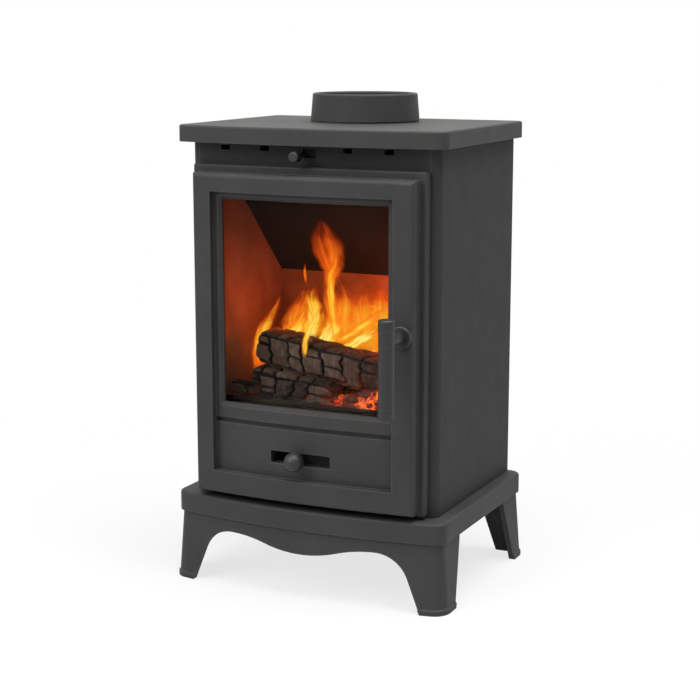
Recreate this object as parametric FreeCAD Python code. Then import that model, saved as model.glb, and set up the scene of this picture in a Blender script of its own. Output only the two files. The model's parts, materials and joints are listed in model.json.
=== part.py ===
import FreeCAD
import Part
import math
import os

# Small free-standing multi-fuel stove. Lengths are in millimetres, +Z is up and the door faces -Y.
# The stove is drawn with its middle plane at x = 0 and the floor at z = 0, then moved so that the origin
# lies at the middle of its footprint box on the floor.

V = FreeCAD.Vector
RIGHT = V(1, 0, 0)
BACK = V(0, 1, 0)
UP = V(0, 0, 1)

# Clearances
overrun = 10.0
tiny = 0.001
slide_gap = 0.3
running_gap = 0.06
bolt_gap = 0.2

# Body shell, which the other sizes follow
body_half_width = 176.0
body_front_y = -124.0
body_back_y = 140.0
body_corner = 12.0
panel = 4.0
frame_plate = 6.0
inner_half_width = body_half_width - panel
frame_back_y = body_front_y + frame_plate

# Base plate
base_top_z = 120.0
base_side_overhang = 19.0
base_front_overhang = 22.0
base_back_overhang = 8.0
base_bow = 20.0
base_rim_height = 27.0
base_wall = 6.0
base_slab = 8.0
base_front_corner = 18.0
base_back_corner = 16.0
base_edge_round = 4.0
base_boss_radius = 11.0
base_half_width = body_half_width + base_side_overhang
base_front_y = body_front_y - base_front_overhang
base_back_y = body_back_y + base_back_overhang
base_slab_low_z = base_top_z - base_slab
leg_height = base_top_z - base_rim_height

# Legs and apron
leg_top_inset = 4.0
leg_foot_flare = 2.5
leg_toe_flare = 4.5
leg_toe_height = 6.0
leg_toe_slope = 2.0
leg_wall = 7.0
leg_flange_top = 67.0
leg_flange_foot = 36.0
leg_pad_thickness = 8.0
leg_pad_length_inset = 2.0
leg_pad_depth_inset = 15.0
leg_bolt_inset_x = 45.0
leg_bolt_inset_front = 24.0
leg_bolt_inset_back = 33.0
leg_bolt_radius = 4.0
leg_bolt_length = 22.0
leg_bolt_head_radius = 7.5
leg_bolt_head_height = 5.3
apron_drop = 32.5
apron_crest_drop = 17.5
apron_crest_inset = 91.0
apron_shoulder_radius = 48.0
apron_foot_inset = 28.5
leg_pad_length = leg_flange_top - leg_pad_length_inset
leg_pad_depth = leg_flange_top - leg_pad_depth_inset
apron_drop_z = leg_height - apron_drop
apron_peak_z = leg_height - apron_crest_drop
apron_peak_x = base_half_width - apron_crest_inset
apron_foot_x = base_half_width - apron_foot_inset

# Top plate
top_z = 612.0
top_side_overhang = 14.0
top_front_overhang = 15.0
top_back_overhang = 2.0
top_bow = 15.0
top_rim_height = 22.0
top_wall = 8.0
top_slab = 9.0
top_front_corner = 14.0
top_back_corner = 10.0
top_edge_round = 3.0
top_boss_radius = 7.5
top_boss_length = 20.0
top_half_width = body_half_width + top_side_overhang
top_front_y = body_front_y - top_front_overhang
top_back_y = body_back_y + top_back_overhang
top_slab_low_z = top_z - top_slab

# Flue collar
collar_set_forward = 102.0
collar_bore = 64.5
collar_wall = 6.0
collar_taper = 3.0
collar_height = 36.0
collar_lip_round = 2.5
collar_gasket_thickness = 2.0
collar_gasket_inset = 1.0
collar_bolt_count = 3
collar_bolt_inset = 4.1
collar_bolt_radius = 2.5
collar_bolt_depth = 12.0
collar_bolt_head_radius = 4.5
collar_bolt_head_height = 3.5
collar_y = body_back_y - collar_set_forward
collar_top_radius = collar_bore + collar_wall
collar_base_radius = collar_top_radius + collar_taper
collar_bolt_ring = collar_bore + collar_bolt_inset

# Rear wall
rear_gap = 26.0
outlet_drop = 104.0
outlet_bore = 62.0
blank_radius = 74.0
blank_thickness = 6.0
blank_round = 2.0
blank_bolt_count = 3
blank_bolt_ring = 68.0
blank_bolt_radius = 3.0
blank_bolt_head_radius = 5.5
blank_bolt_head_height = 4.0
shield_sheet = 2.0
shield_foot_gap = 5.0
shield_flange = 5.0
shield_hole_radius = 82.0
shield_louvre_count = 5
shield_louvre_rise = 80.0
shield_louvre_margin_share = 0.5
shield_louvre_half_length = 60.0
shield_louvre_height = 8.0
spacer_inset = 61.0
spacer_rise = 70.0
spacer_drop = 37.0
spacer_radius = 6.0
shield_screw_radius = 2.5
shield_screw_head_radius = 5.0
shield_screw_head_height = 3.0
rear_panel_y = body_back_y - rear_gap
outlet_z = top_z - outlet_drop
shield_y = body_back_y - shield_sheet
shield_louvre_first_z = base_top_z + shield_louvre_rise
shield_louvre_zone = outlet_z - shield_hole_radius - shield_louvre_first_z
shield_louvre_pitch = shield_louvre_zone / (shield_louvre_count + shield_louvre_margin_share)
spacer_x = body_half_width - spacer_inset
spacer_low_z = base_top_z + spacer_rise
spacer_high_z = top_z - spacer_drop

# Tie rods
tie_side_inset = 12.0
tie_front_inset = 17.0
tie_back_inset = 13.0
tie_radius = 4.0
tie_tail = 4.0
tie_thread_depth = 17.0
tie_nut_radius = 7.5
tie_nut_height = 6.5
tie_x = body_half_width - tie_side_inset
tie_front_y = body_front_y + tie_front_inset
tie_back_y = body_back_y - tie_back_inset

# Fire boards and baffle
side_board = 16.0
rear_board = 25.0
board_front_inset = 29.0
board_top_drop = 79.0
baffle_foot_drop = 216.5
baffle_angle = 45.7
baffle_thickness = 8.0
baffle_front_inset = 72.0
baffle_side_gap = 0.5
board_front_y = body_front_y + board_front_inset
board_top_z = top_z - board_top_drop
rear_board_front_y = rear_panel_y - rear_board
baffle_foot_z = top_z - baffle_foot_drop
baffle_front_y = body_front_y + baffle_front_inset
baffle_slope = math.tan(math.radians(baffle_angle))

# Grate, ledges and retainer
ledge_rise = 98.0
ledge_sheet = 4.0
ledge_width = 40.0
ledge_drop = 28.0
grate_side_gap = 4.0
grate_front_gap = 2.0
grate_back_gap = 3.0
grate_thickness = 12.0
grate_margin = 14.0
grate_slot_width = 9.0
grate_bar_width = 12.0
retainer_end_gap = 12.0
retainer_thickness = 6.0
retainer_height = 29.0
retainer_round = 3.0
ledge_top_z = base_top_z + ledge_rise
grate_half_width = inner_half_width - side_board - grate_side_gap
grate_front_y = board_front_y + grate_front_gap
grate_back_y = rear_board_front_y - grate_back_gap
retainer_half_width = inner_half_width - retainer_end_gap

# Fuel laid on the grate
log_corner_shares = ((-1, -0.55), (-0.6, -1), (0.65, -1), (1, -0.5), (1, 0.45), (0.55, 1), (-0.5, 1), (-1, 0.6))
log_crack_width = 2.4
log_crack_depth = 3.0
log_crack_pitch = 25.0
log_crack_lean = 7.0
log_crack_level_shares = (-0.35, 0.3)
lower_log_length = 122.0
lower_log_half_depth = 25.0
lower_log_half_height = 18.0
lower_log_x = -54.5
lower_log_set_back = 39.5
lower_log_rise = 30.8
lower_log_tilt = 6.0
lower_log_turn = 2.0
rear_log_length = 196.0
rear_log_half_depth = 28.0
rear_log_half_height = 28.0
rear_log_x = 28.0
rear_log_set_back = 129.0
rear_log_rise = 27.0
rear_log_turn = 2.0
upper_log_length = 206.0
upper_log_half_depth = 29.0
upper_log_half_height = 25.0
upper_log_x = -10.5
upper_log_set_back = 63.5
upper_log_rise = 61.7
upper_log_tilt = 9.3
upper_log_turn = 1.0
stick_length = 40.0
stick_half_depth = 11.0
stick_half_height = 12.0
stick_x = -123.0
stick_set_back = 17.5
stick_rise = 25.0
stick_turn = -6.0
ember_side_gap = 6.0
ember_front_gap = 3.0
ember_back_gap = 8.0
ember_crest_set_back = 24.0
ember_low = 6.0
ember_middle = 20.0
ember_high = 36.0
ember_x_shares = (-1, -0.8, 0.1, 0.42, 0.75, 1)
hearth_z = ledge_top_z + grate_thickness

# Ash pan
pan_side_gap = 61.0
pan_front_gap = 3.0
pan_back_gap = 1.0
pan_height = 58.0
pan_wall = 2.0
pan_round = 8.0
pan_grip_half_width = 28.0
pan_grip_reach = 14.0
pan_grip_drop = 12.0
pan_grip_bar = 4.0
runner_inset = 25.0
runner_width = 16.0
runner_height = 19.0
pan_half_width = body_half_width - pan_side_gap
pan_front_y = board_front_y + pan_front_gap
pan_back_y = rear_board_front_y - pan_back_gap
runner_x = pan_half_width - runner_inset

# Airwash control
vent_width = 13.5
vent_height = 6.5
vent_drop = 28.5
vent_shift_x = -8.5
vent_inset = 59.5
vent_inner_share = 0.506
lever_slot_left = -13.0
lever_slot_width = 19.0
lever_slot_drop = 39.0
lever_slot_height = 12.5
wash_sheet = 3.0
wash_end_inset = 36.0
wash_low_drop = 45.0
wash_high_drop = 15.0
wash_rod_x = -10.0
wash_rod_drop = 36.0
wash_rod_radius = 2.5
wash_knob_radius = 6.8
wash_knob_length = 13.0
wash_knob_round = 2.0
wash_knob_stand_off = 20.0
wash_guide_width = 14.0
wash_guide_strap = 2.0
wash_guide_foot = 5.0
deflector_end_inset = 26.0
deflector_sheet = 2.0
deflector_set_back = 32.0
deflector_drop = 56.0
deflector_slit = 6.0
vent_z = top_z - vent_drop
vent_outer_x = body_half_width - vent_inset
vent_inner_x = vent_outer_x * vent_inner_share
lever_slot_low_z = top_z - lever_slot_drop
wash_half_length = body_half_width - wash_end_inset
wash_low_z = top_z - wash_low_drop
wash_high_z = top_z - wash_high_drop
wash_rod_z = top_z - wash_rod_drop
wash_guide_x = (vent_inner_x + vent_outer_x) / 2
deflector_half_width = body_half_width - deflector_end_inset
deflector_y = body_front_y + deflector_set_back
deflector_low_z = top_z - deflector_drop

# Door mouth and door casting
mouth_left_inset = 37.0
mouth_right_inset = 25.0
mouth_rise = 18.0
mouth_drop = 64.0
mouth_corner = 6.0
door_gap = 3.0
lip_inset = 11.0
lip_rise = 4.0
lip_drop = 50.0
lip_thickness = 11.6
lip_round = 2.5
face_side_step = 8.5
face_low_step = 4.3
face_high_step = 10.0
face_step = 19.0
face_round = 5.0
door_bow = 9.6
recess_side_rail = 27.5
recess_low_rail = 30.2
recess_high_rail = 23.0
recess_depth = 10.0
window_side_border = 11.0
window_low_border = 92.0
window_high_border = 10.0
window_bevel = 4.5
groove_below_window = 26.5
groove_height = 6.5
groove_depth = 5.0
pocket_side_lap = 2.0
pocket_low_inset = 6.5
pocket_high_lap = 12.0
pocket_depth = 16.0
rope_left_inset = 30.0
rope_right_inset = 19.5
rope_rise = 11.0
rope_drop = 57.0
rope_width = 9.0
rope_channel_depth = 7.0
rope_corner = 12.0
rope_round = 3.0
mouth_left_x = mouth_left_inset - body_half_width
mouth_right_x = body_half_width - mouth_right_inset
mouth_low_z = base_top_z + mouth_rise
mouth_high_z = top_z - mouth_drop
lip_half_width = body_half_width - lip_inset
lip_low_z = base_top_z + lip_rise
lip_high_z = top_z - lip_drop
face_half_width = lip_half_width - face_side_step
face_low_z = lip_low_z + face_low_step
face_high_z = lip_high_z - face_high_step
recess_half_width = face_half_width - recess_side_rail
recess_low_z = face_low_z + recess_low_rail
recess_high_z = face_high_z - recess_high_rail
window_half_width = recess_half_width - window_side_border
window_low_z = recess_low_z + window_low_border
window_high_z = recess_high_z - window_high_border
groove_low_z = window_low_z - groove_below_window
pocket_half_width = recess_half_width + pocket_side_lap
pocket_low_z = recess_low_z + pocket_low_inset
pocket_high_z = recess_high_z + pocket_high_lap
rope_left_x = rope_left_inset - body_half_width
rope_right_x = body_half_width - rope_right_inset
rope_low_z = base_top_z + rope_rise
rope_high_z = top_z - rope_drop
door_back_y = body_front_y - door_gap
lip_front_y = door_back_y - lip_thickness
face_y = lip_front_y - face_step
bow_radius = (face_half_width ** 2 + door_bow ** 2) / (2 * door_bow)
bow_centre_y = face_y - door_bow + bow_radius
panel_front_y = face_y - door_bow + recess_depth
pocket_y = door_back_y - pocket_depth

# Glass
glass_lap = 8.0
glass_thickness = 4.0
glass_gasket = 2.0
glass_gasket_width = 6.0
clip_count = 3
clip_pitch_share = 0.746
clip_half_width = 8.0
clip_gap = 2.0
clip_foot = 10.0
clip_finger = 8.0
clip_sheet = 2.0
clip_screw_radius = 2.0
clip_screw_bite = 4.0
clip_screw_head_radius = 3.8
clip_screw_head_height = 2.4
clip_pitch = window_half_width * clip_pitch_share
gasket_back_y = pocket_y + glass_gasket
glass_back_y = gasket_back_y + glass_thickness

# Hinges
hinge_inset = 16.0
hinge_set_out = 7.0
hinge_rise = 66.0
hinge_drop = 92.0
hinge_bracket_height = 10.0
hinge_bracket_radius = 6.2
hinge_knuckle_radius = 6.5
hinge_knuckle_length = 22.0
hinge_pin_radius = 3.5
hinge_pin_tail = 3.0
hinge_relief_radius = 8.5
hinge_lift_room = 8.0
hinge_x = hinge_inset - body_half_width
hinge_y = body_front_y - hinge_set_out
hinge_low_z = lip_low_z + hinge_rise
hinge_high_z = lip_high_z - hinge_drop

# Handle and latch
spindle_inset = 34.5
spindle_above_middle = 16.0
spindle_radius = 7.0
spindle_neck_radius = 5.0
escutcheon_radius = 14.5
escutcheon_thickness = 6.0
escutcheon_round = 2.0
grip_stand_off = 47.4
grip_radius = 10.0
grip_length = 124.0
grip_top_above_spindle = 29.5
cap_length = 14.0
cap_radius = 10.4
cap_round = 3.0
tenon_radius = 4.0
keeper_thickness = 4.0
keeper_left_inset = 24.0
keeper_right_inset = 13.0
keeper_half_height = 15.0
keeper_screw_offset = 10.0
keeper_screw_radius = 2.0
keeper_screw_head_radius = 3.6
keeper_screw_head_height = 2.0
keeper_screw_length = 9.0
tongue_thickness = 5.0
tongue_hub_radius = 8.5
tongue_reach = 17.5
tongue_half_width = 6.0
latch_nut_radius = 8.5
latch_nut_height = 5.0
latch_thread_tail = 2.0
spindle_x = body_half_width - spindle_inset
spindle_z = (lip_low_z + lip_high_z) / 2 + spindle_above_middle
grip_y = face_y - grip_stand_off
grip_high_z = spindle_z + grip_top_above_spindle
grip_low_z = grip_high_z - grip_length
keeper_left_x = body_half_width - keeper_left_inset
keeper_right_x = body_half_width - keeper_right_inset
tongue_front_y = frame_back_y + keeper_thickness + slide_gap
tongue_back_y = tongue_front_y + tongue_thickness

# Primary air control
air_slot_x = -2.0
air_slot_rise = 27.5
air_slot_width = 86.0
air_slot_height = 16.5
air_slot_round = 2.0
air_travel = 30.0
air_plate_sheet = 2.0
air_plate_end_gap = 6.0
air_plate_half_height = 14.0
air_window_left_x = -47.0
air_window_right_x = -13.0
air_knob_x = -3.0
air_knob_radius = 13.0
air_knob_stand_off = 15.5
air_stem_radius = 4.5
air_guide_inset = 20.0
air_guide_width = 14.0
air_guide_strap = 2.0
air_guide_foot = 8.0
air_slot_z = recess_low_z + air_slot_rise
air_plate_half_length = pocket_half_width - air_travel - air_plate_end_gap
air_guide_x = air_plate_half_length - air_guide_inset

# Places worked out from the sizes above
origin_y = (grip_y - cap_radius + base_back_y + leg_toe_flare) / 2
tie_places = [(side * tie_x, y) for side in (-1, 1) for y in (tie_front_y, tie_back_y)]
leg_bolt_x = base_half_width - leg_bolt_inset_x
leg_bolt_front_y = base_front_y + leg_bolt_inset_front
leg_bolt_back_y = base_back_y - leg_bolt_inset_back
leg_bolt_places = [(side * leg_bolt_x, y) for side in (-1, 1) for y in (leg_bolt_front_y, leg_bolt_back_y)]
vent_places = [vent_shift_x + x for x in (-vent_outer_x, -vent_inner_x, vent_inner_x, vent_outer_x)]
clip_places = [clip_pitch * (i - (clip_count - 1) / 2) for i in range(clip_count)]
hinge_levels = (hinge_low_z, hinge_high_z)


# Plain shapes

def box(x0, x1, y0, y1, z0, z1):
    return Part.makeBox(x1 - x0, y1 - y0, z1 - z0, V(x0, y0, z0))


def rod_x(radius, y, z, x0, x1):
    return Part.makeCylinder(radius, x1 - x0, V(x0, y, z), RIGHT)


def rod_y(radius, x, z, y0, y1):
    return Part.makeCylinder(radius, y1 - y0, V(x, y0, z), BACK)


def rod_z(radius, x, y, z0, z1):
    return Part.makeCylinder(radius, z1 - z0, V(x, y, z0), UP)


def hexagon(radius, centre, direction, height):
    side = V(0, 0, 1) if abs(direction.z) < 1 else V(1, 0, 0)
    other = direction.cross(side)
    points = []
    for i in range(7):
        angle = math.radians(60 * i)
        points.append(centre + side * (radius * math.cos(angle)) + other * (radius * math.sin(angle)))
    return Part.Face(Part.makePolygon(points)).extrude(direction * height)


def face_prism(points, direction):
    return Part.Face(Part.makePolygon(points + points[:1])).extrude(direction)


def arc(centre, radius, start, end, lift):
    # Arc about a point in the plane that lift places, between two angles in radians.
    angles = (start, (start + end) / 2, end)
    points = [lift(centre[0] + radius * math.cos(a), centre[1] + radius * math.sin(a)) for a in angles]
    return Part.Arc(*points).toShape()


def rounded_window(x0, x1, z0, z1, corner, y0, y1):
    # Block along Y whose outline in the front view has four round corners.
    block = box(x0, x1, y0, y1, z0, z1)
    edges = [e for e in block.Edges if abs(e.tangentAt(e.FirstParameter).y) > 1 - tiny]
    return block.makeFillet(corner, edges)


def level_edges(shape, z):
    return [e for e in shape.Edges if abs(e.BoundBox.ZMin - z) < tiny and abs(e.BoundBox.ZMax - z) < tiny]


def depth_edges(shape, y):
    return [e for e in shape.Edges if abs(e.BoundBox.YMin - y) < tiny and abs(e.BoundBox.YMax - y) < tiny]


def bowed_outline(half_width, front_y, bow, back_y, front_corner, back_corner, grow, z):
    # Closed outline with a bowed front and four round corners, grown outwards by one distance.
    radius = (half_width ** 2 + bow ** 2) / (2 * bow) + grow
    centre_y = front_y - bow + radius - grow
    side = half_width + grow
    back = back_y + grow
    front_round = front_corner + grow
    back_round = back_corner + grow
    turn_x = side - front_round
    turn_y = centre_y - math.sqrt((radius - front_round) ** 2 - turn_x ** 2)
    stretch = radius / (radius - front_round)
    join_x = turn_x * stretch
    join_y = centre_y + (turn_y - centre_y) * stretch
    lean = math.atan2(join_y - turn_y, join_x - turn_x)

    def lift(x, y):
        return V(x, y, z)

    edges = [
        Part.makeLine(lift(side, back - back_round), lift(side, turn_y)),
        arc((turn_x, turn_y), front_round, 0, lean, lift),
        Part.Arc(lift(join_x, join_y), lift(0, centre_y - radius), lift(-join_x, join_y)).toShape(),
        arc((-turn_x, turn_y), front_round, -math.pi - lean, -math.pi, lift),
        Part.makeLine(lift(-side, turn_y), lift(-side, back - back_round)),
        arc((-side + back_round, back - back_round), back_round, math.pi, math.pi / 2, lift),
        Part.makeLine(lift(-side + back_round, back), lift(side - back_round, back)),
        arc((side - back_round, back - back_round), back_round, math.pi / 2, 0, lift),
    ]
    return Part.Wire(edges)


def base_outline(grow, z):
    return bowed_outline(base_half_width, base_front_y, base_bow, base_back_y,
                         base_front_corner, base_back_corner, grow, z)


def top_outline(grow, z):
    return bowed_outline(top_half_width, top_front_y, top_bow, top_back_y,
                         top_front_corner, top_back_corner, grow, z)


def outline_block(wire, height):
    return Part.Face(wire).extrude(UP * height)


def loft(wires):
    return Part.makeLoft(wires, True, True)


def group(shapes):
    return Part.makeCompound(shapes)


# Base plate and legs

def base_plate():
    plate = outline_block(base_outline(0, leg_height), base_rim_height)
    plate = plate.makeFillet(base_edge_round, level_edges(plate, base_top_z))
    hollow = outline_block(base_outline(-base_wall, leg_height), base_rim_height - base_slab)
    plate = plate.cut(hollow)
    for x, y in leg_bolt_places:
        plate = plate.fuse(rod_z(base_boss_radius, x, y, leg_height, base_slab_low_z))
        bolt_top_z = leg_height - leg_pad_thickness + leg_bolt_length
        plate = plate.cut(rod_z(leg_bolt_radius + bolt_gap, x, y, leg_height, bolt_top_z + bolt_gap))
    for x, y in tie_places:
        plate = plate.cut(rod_z(tie_radius + bolt_gap, x, y, base_slab_low_z - overrun, base_top_z + overrun))
    return plate.removeSplitter()


def apron_cut():
    # Ogee opening between the front feet: two S curves that meet in the middle, then the inside of each leg.
    wave_radius = (apron_peak_x ** 2 + (apron_peak_z - apron_drop_z) ** 2) / (
        4 * (apron_peak_z - apron_drop_z))
    wave_angle = math.asin(apron_peak_x / 2 / wave_radius)
    shoulder = (apron_peak_x, apron_peak_z - apron_shoulder_radius)
    reach = math.hypot(apron_foot_x - shoulder[0], shoulder[1])
    to_foot = math.atan2(-shoulder[1], apron_foot_x - shoulder[0])
    touch = to_foot + math.acos(apron_shoulder_radius / reach)
    front = base_front_y - base_bow - leg_toe_flare - overrun

    def edges_of(side):
        def lift(x, z):
            return V(side * x, front, z)

        foot = lift(apron_foot_x, 0)
        leg_joint = lift(shoulder[0] + apron_shoulder_radius * math.cos(touch),
                         shoulder[1] + apron_shoulder_radius * math.sin(touch))
        drop = (0, apron_drop_z + wave_radius)
        crest = (apron_peak_x, apron_peak_z - wave_radius)
        up = math.pi / 2
        return [
            Part.makeLine(lift(apron_foot_x, -overrun), foot),
            Part.makeLine(foot, leg_joint),
            arc(shoulder, apron_shoulder_radius, touch, up, lift),
            arc(crest, wave_radius, up, up + wave_angle, lift),
            arc(drop, wave_radius, wave_angle - up, -up, lift),
        ]

    floor_line = Part.makeLine(V(-apron_foot_x, front, -overrun), V(apron_foot_x, front, -overrun))
    outline = Part.Wire(Part.sortEdges(edges_of(1) + edges_of(-1) + [floor_line])[0])
    return Part.Face(outline).extrude(BACK * (leg_bolt_front_y - front))


def side_gap():
    def y_front(inset):
        return base_front_y + inset

    def y_back(inset):
        return base_back_y - inset

    reach = base_half_width + leg_toe_flare + overrun
    points = [
        V(-reach, y_front(leg_flange_foot), -overrun),
        V(-reach, y_front(leg_flange_foot), 0),
        V(-reach, y_front(leg_flange_top), leg_height),
        V(-reach, y_back(leg_flange_top), leg_height),
        V(-reach, y_back(leg_flange_foot), 0),
        V(-reach, y_back(leg_flange_foot), -overrun),
    ]
    return face_prism(points, RIGHT * (2 * reach))


def back_gap():
    inner_top = base_half_width - leg_flange_top
    inner_foot = base_half_width - leg_flange_foot
    points = [
        V(-inner_foot, leg_bolt_back_y, -overrun),
        V(-inner_foot, leg_bolt_back_y, 0),
        V(-inner_top, leg_bolt_back_y, leg_height),
        V(inner_top, leg_bolt_back_y, leg_height),
        V(inner_foot, leg_bolt_back_y, 0),
        V(inner_foot, leg_bolt_back_y, -overrun),
    ]
    return face_prism(points, BACK * (base_back_y + leg_toe_flare + overrun - leg_bolt_back_y))


def leg_ring():
    # Skirt that leans outwards to the floor and ends in a small toe, before its openings are cut.
    slope_z = leg_toe_height + leg_toe_slope
    outer = loft([
        base_outline(-leg_top_inset, leg_height),
        base_outline(leg_foot_flare, slope_z),
        base_outline(leg_toe_flare, leg_toe_height),
        base_outline(leg_toe_flare, 0),
    ])
    inner = loft([
        base_outline(-leg_top_inset - leg_wall, leg_height),
        base_outline(leg_foot_flare - leg_wall, 0),
    ])
    return outer.cut(inner)


def leg_pads():
    # Horizontal pads in the four corners, where the legs bolt up to the base plate.
    inside = outline_block(base_outline(-leg_top_inset - leg_wall / 2, leg_height - leg_pad_thickness),
                           leg_pad_thickness)
    corners = []
    for side in (-1, 1):
        inner_x = side * (base_half_width - leg_pad_length)
        outer_x = side * (base_half_width + overrun)
        x0, x1 = min(inner_x, outer_x), max(inner_x, outer_x)
        front = base_front_y - base_bow
        corners.append(box(x0, x1, front, base_front_y + leg_pad_depth, 0, leg_height))
        corners.append(box(x0, x1, base_back_y - leg_pad_depth, base_back_y, 0, leg_height))
    pads = inside.common(group(corners))
    for x, y in leg_bolt_places:
        pads = pads.cut(rod_z(leg_bolt_radius + bolt_gap, x, y, 0, leg_height + overrun))
    return pads


def leg_castings():
    skirt = leg_ring().cut(apron_cut()).cut(side_gap()).cut(back_gap())
    casting = skirt.fuse(leg_pads()).removeSplitter()
    front = max(casting.Solids, key=lambda solid: -solid.CenterOfMass.y)
    rear = [solid for solid in casting.Solids if solid.CenterOfMass.y > 0]
    rear_left = min(rear, key=lambda solid: solid.CenterOfMass.x)
    rear_right = max(rear, key=lambda solid: solid.CenterOfMass.x)
    return front, rear_left, rear_right


def leg_bolts():
    low_z = leg_height - leg_pad_thickness
    bolts = []
    for x, y in leg_bolt_places:
        shank = rod_z(leg_bolt_radius, x, y, low_z, low_z + leg_bolt_length)
        head = hexagon(leg_bolt_head_radius, V(x, y, low_z - leg_bolt_head_height), UP, leg_bolt_head_height)
        bolts.append(shank.fuse(head))
    return group(bolts)


# Body shell

def side_panel(side):
    turn = (body_half_width - body_corner, body_front_y + body_corner)

    def lift(x, y):
        return V(side * x, y, base_top_z)

    inner_corner = body_corner - panel
    edges = [
        Part.makeLine(lift(body_half_width, body_back_y), lift(body_half_width, turn[1])),
        arc(turn, body_corner, 0, -math.pi / 2, lift),
        Part.makeLine(lift(turn[0], body_front_y), lift(turn[0], body_front_y + panel)),
        arc(turn, inner_corner, -math.pi / 2, 0, lift),
        Part.makeLine(lift(inner_half_width, turn[1]), lift(inner_half_width, body_back_y)),
        Part.makeLine(lift(inner_half_width, body_back_y), lift(body_half_width, body_back_y)),
    ]
    return outline_block(Part.Wire(edges), top_slab_low_z - base_top_z)


def front_frame():
    half = body_half_width - body_corner
    plate = box(-half, half, body_front_y, frame_back_y, base_top_z, top_slab_low_z)
    front = body_front_y - overrun
    back = frame_back_y + overrun
    plate = plate.cut(rounded_window(mouth_left_x, mouth_right_x, mouth_low_z, mouth_high_z,
                                     mouth_corner, front, back))
    for x in vent_places:
        plate = plate.cut(box(x - vent_width / 2, x + vent_width / 2, front, back,
                              vent_z - vent_height / 2, vent_z + vent_height / 2))
    plate = plate.cut(box(lever_slot_left, lever_slot_left + lever_slot_width, front, back,
                          lever_slot_low_z, lever_slot_low_z + lever_slot_height))
    for x, z in keeper_screw_places():
        plate = plate.cut(rod_y(keeper_screw_radius + bolt_gap, x, z, front, back))
    return plate


def outlet_bolt_places():
    places = []
    for i in range(blank_bolt_count):
        angle = math.pi / 2 + 2 * math.pi * i / blank_bolt_count
        places.append((blank_bolt_ring * math.cos(angle), outlet_z + blank_bolt_ring * math.sin(angle)))
    return places


def spacer_places():
    return [(side * spacer_x, z) for side in (-1, 1) for z in (spacer_low_z, spacer_high_z)]


def rear_panel():
    back = rear_panel_y + panel
    plate = box(-inner_half_width, inner_half_width, rear_panel_y, back, base_top_z, top_slab_low_z)
    plate = plate.cut(rod_y(outlet_bore, 0, outlet_z, rear_panel_y - overrun, back + overrun))
    for x, z in outlet_bolt_places():
        plate = plate.cut(rod_y(blank_bolt_radius + bolt_gap, x, z, rear_panel_y - overrun, back + overrun))
    for x, z in spacer_places():
        plate = plate.cut(rod_y(shield_screw_radius + bolt_gap, x, z, rear_panel_y - overrun, back + overrun))
    return plate


def rear_blanking_plate():
    front = rear_panel_y + panel
    back = front + blank_thickness
    plate = rod_y(blank_radius, 0, outlet_z, front, back)
    plate = plate.makeFillet(blank_round, depth_edges(plate, back))
    for x, z in outlet_bolt_places():
        plate = plate.cut(rod_y(blank_bolt_radius + bolt_gap, x, z, front - overrun, back + overrun))
    return plate


def blanking_bolts():
    back = rear_panel_y + panel + blank_thickness
    bolts = []
    for x, z in outlet_bolt_places():
        shank = rod_y(blank_bolt_radius, x, z, rear_panel_y - blank_bolt_head_height, back)
        head = hexagon(blank_bolt_head_radius, V(x, back, z), BACK, blank_bolt_head_height)
        bolts.append(shank.fuse(head))
    return group(bolts)


def heat_shield():
    low = base_top_z + shield_foot_gap
    high = top_slab_low_z - shield_foot_gap
    sheet = box(-inner_half_width, inner_half_width, shield_y, body_back_y, low, high)
    for side in (-1, 1):
        inner = side * (inner_half_width - shield_sheet)
        outer = side * inner_half_width
        sheet = sheet.fuse(box(min(inner, outer), max(inner, outer), body_back_y - shield_flange, body_back_y,
                               low, high))
    front = shield_y - overrun
    back = body_back_y + overrun
    sheet = sheet.cut(rod_y(shield_hole_radius, 0, outlet_z, front, back))
    for i in range(shield_louvre_count):
        z = shield_louvre_first_z + shield_louvre_pitch * i
        sheet = sheet.cut(box(-shield_louvre_half_length, shield_louvre_half_length, front, back,
                              z, z + shield_louvre_height))
    for x, z in spacer_places():
        sheet = sheet.cut(rod_y(shield_screw_radius + bolt_gap, x, z, front, back))
    return sheet.removeSplitter()


def shield_spacers():
    front = rear_panel_y + panel
    spacers = []
    for x, z in spacer_places():
        tube = rod_y(spacer_radius, x, z, front, shield_y)
        spacers.append(tube.cut(rod_y(shield_screw_radius + bolt_gap, x, z, front - overrun, body_back_y)))
    return group(spacers)


def shield_screws():
    screws = []
    for x, z in spacer_places():
        shank = rod_y(shield_screw_radius, x, z, rear_panel_y, body_back_y)
        head = rod_y(shield_screw_head_radius, x, z, body_back_y, body_back_y + shield_screw_head_height)
        screws.append(shank.fuse(head))
    return group(screws)


# Top plate and flue collar

def collar_bolt_places():
    places = []
    for i in range(collar_bolt_count):
        angle = math.pi / 2 + 2 * math.pi * i / collar_bolt_count
        places.append((collar_bolt_ring * math.cos(angle), collar_y + collar_bolt_ring * math.sin(angle)))
    return places


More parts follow.
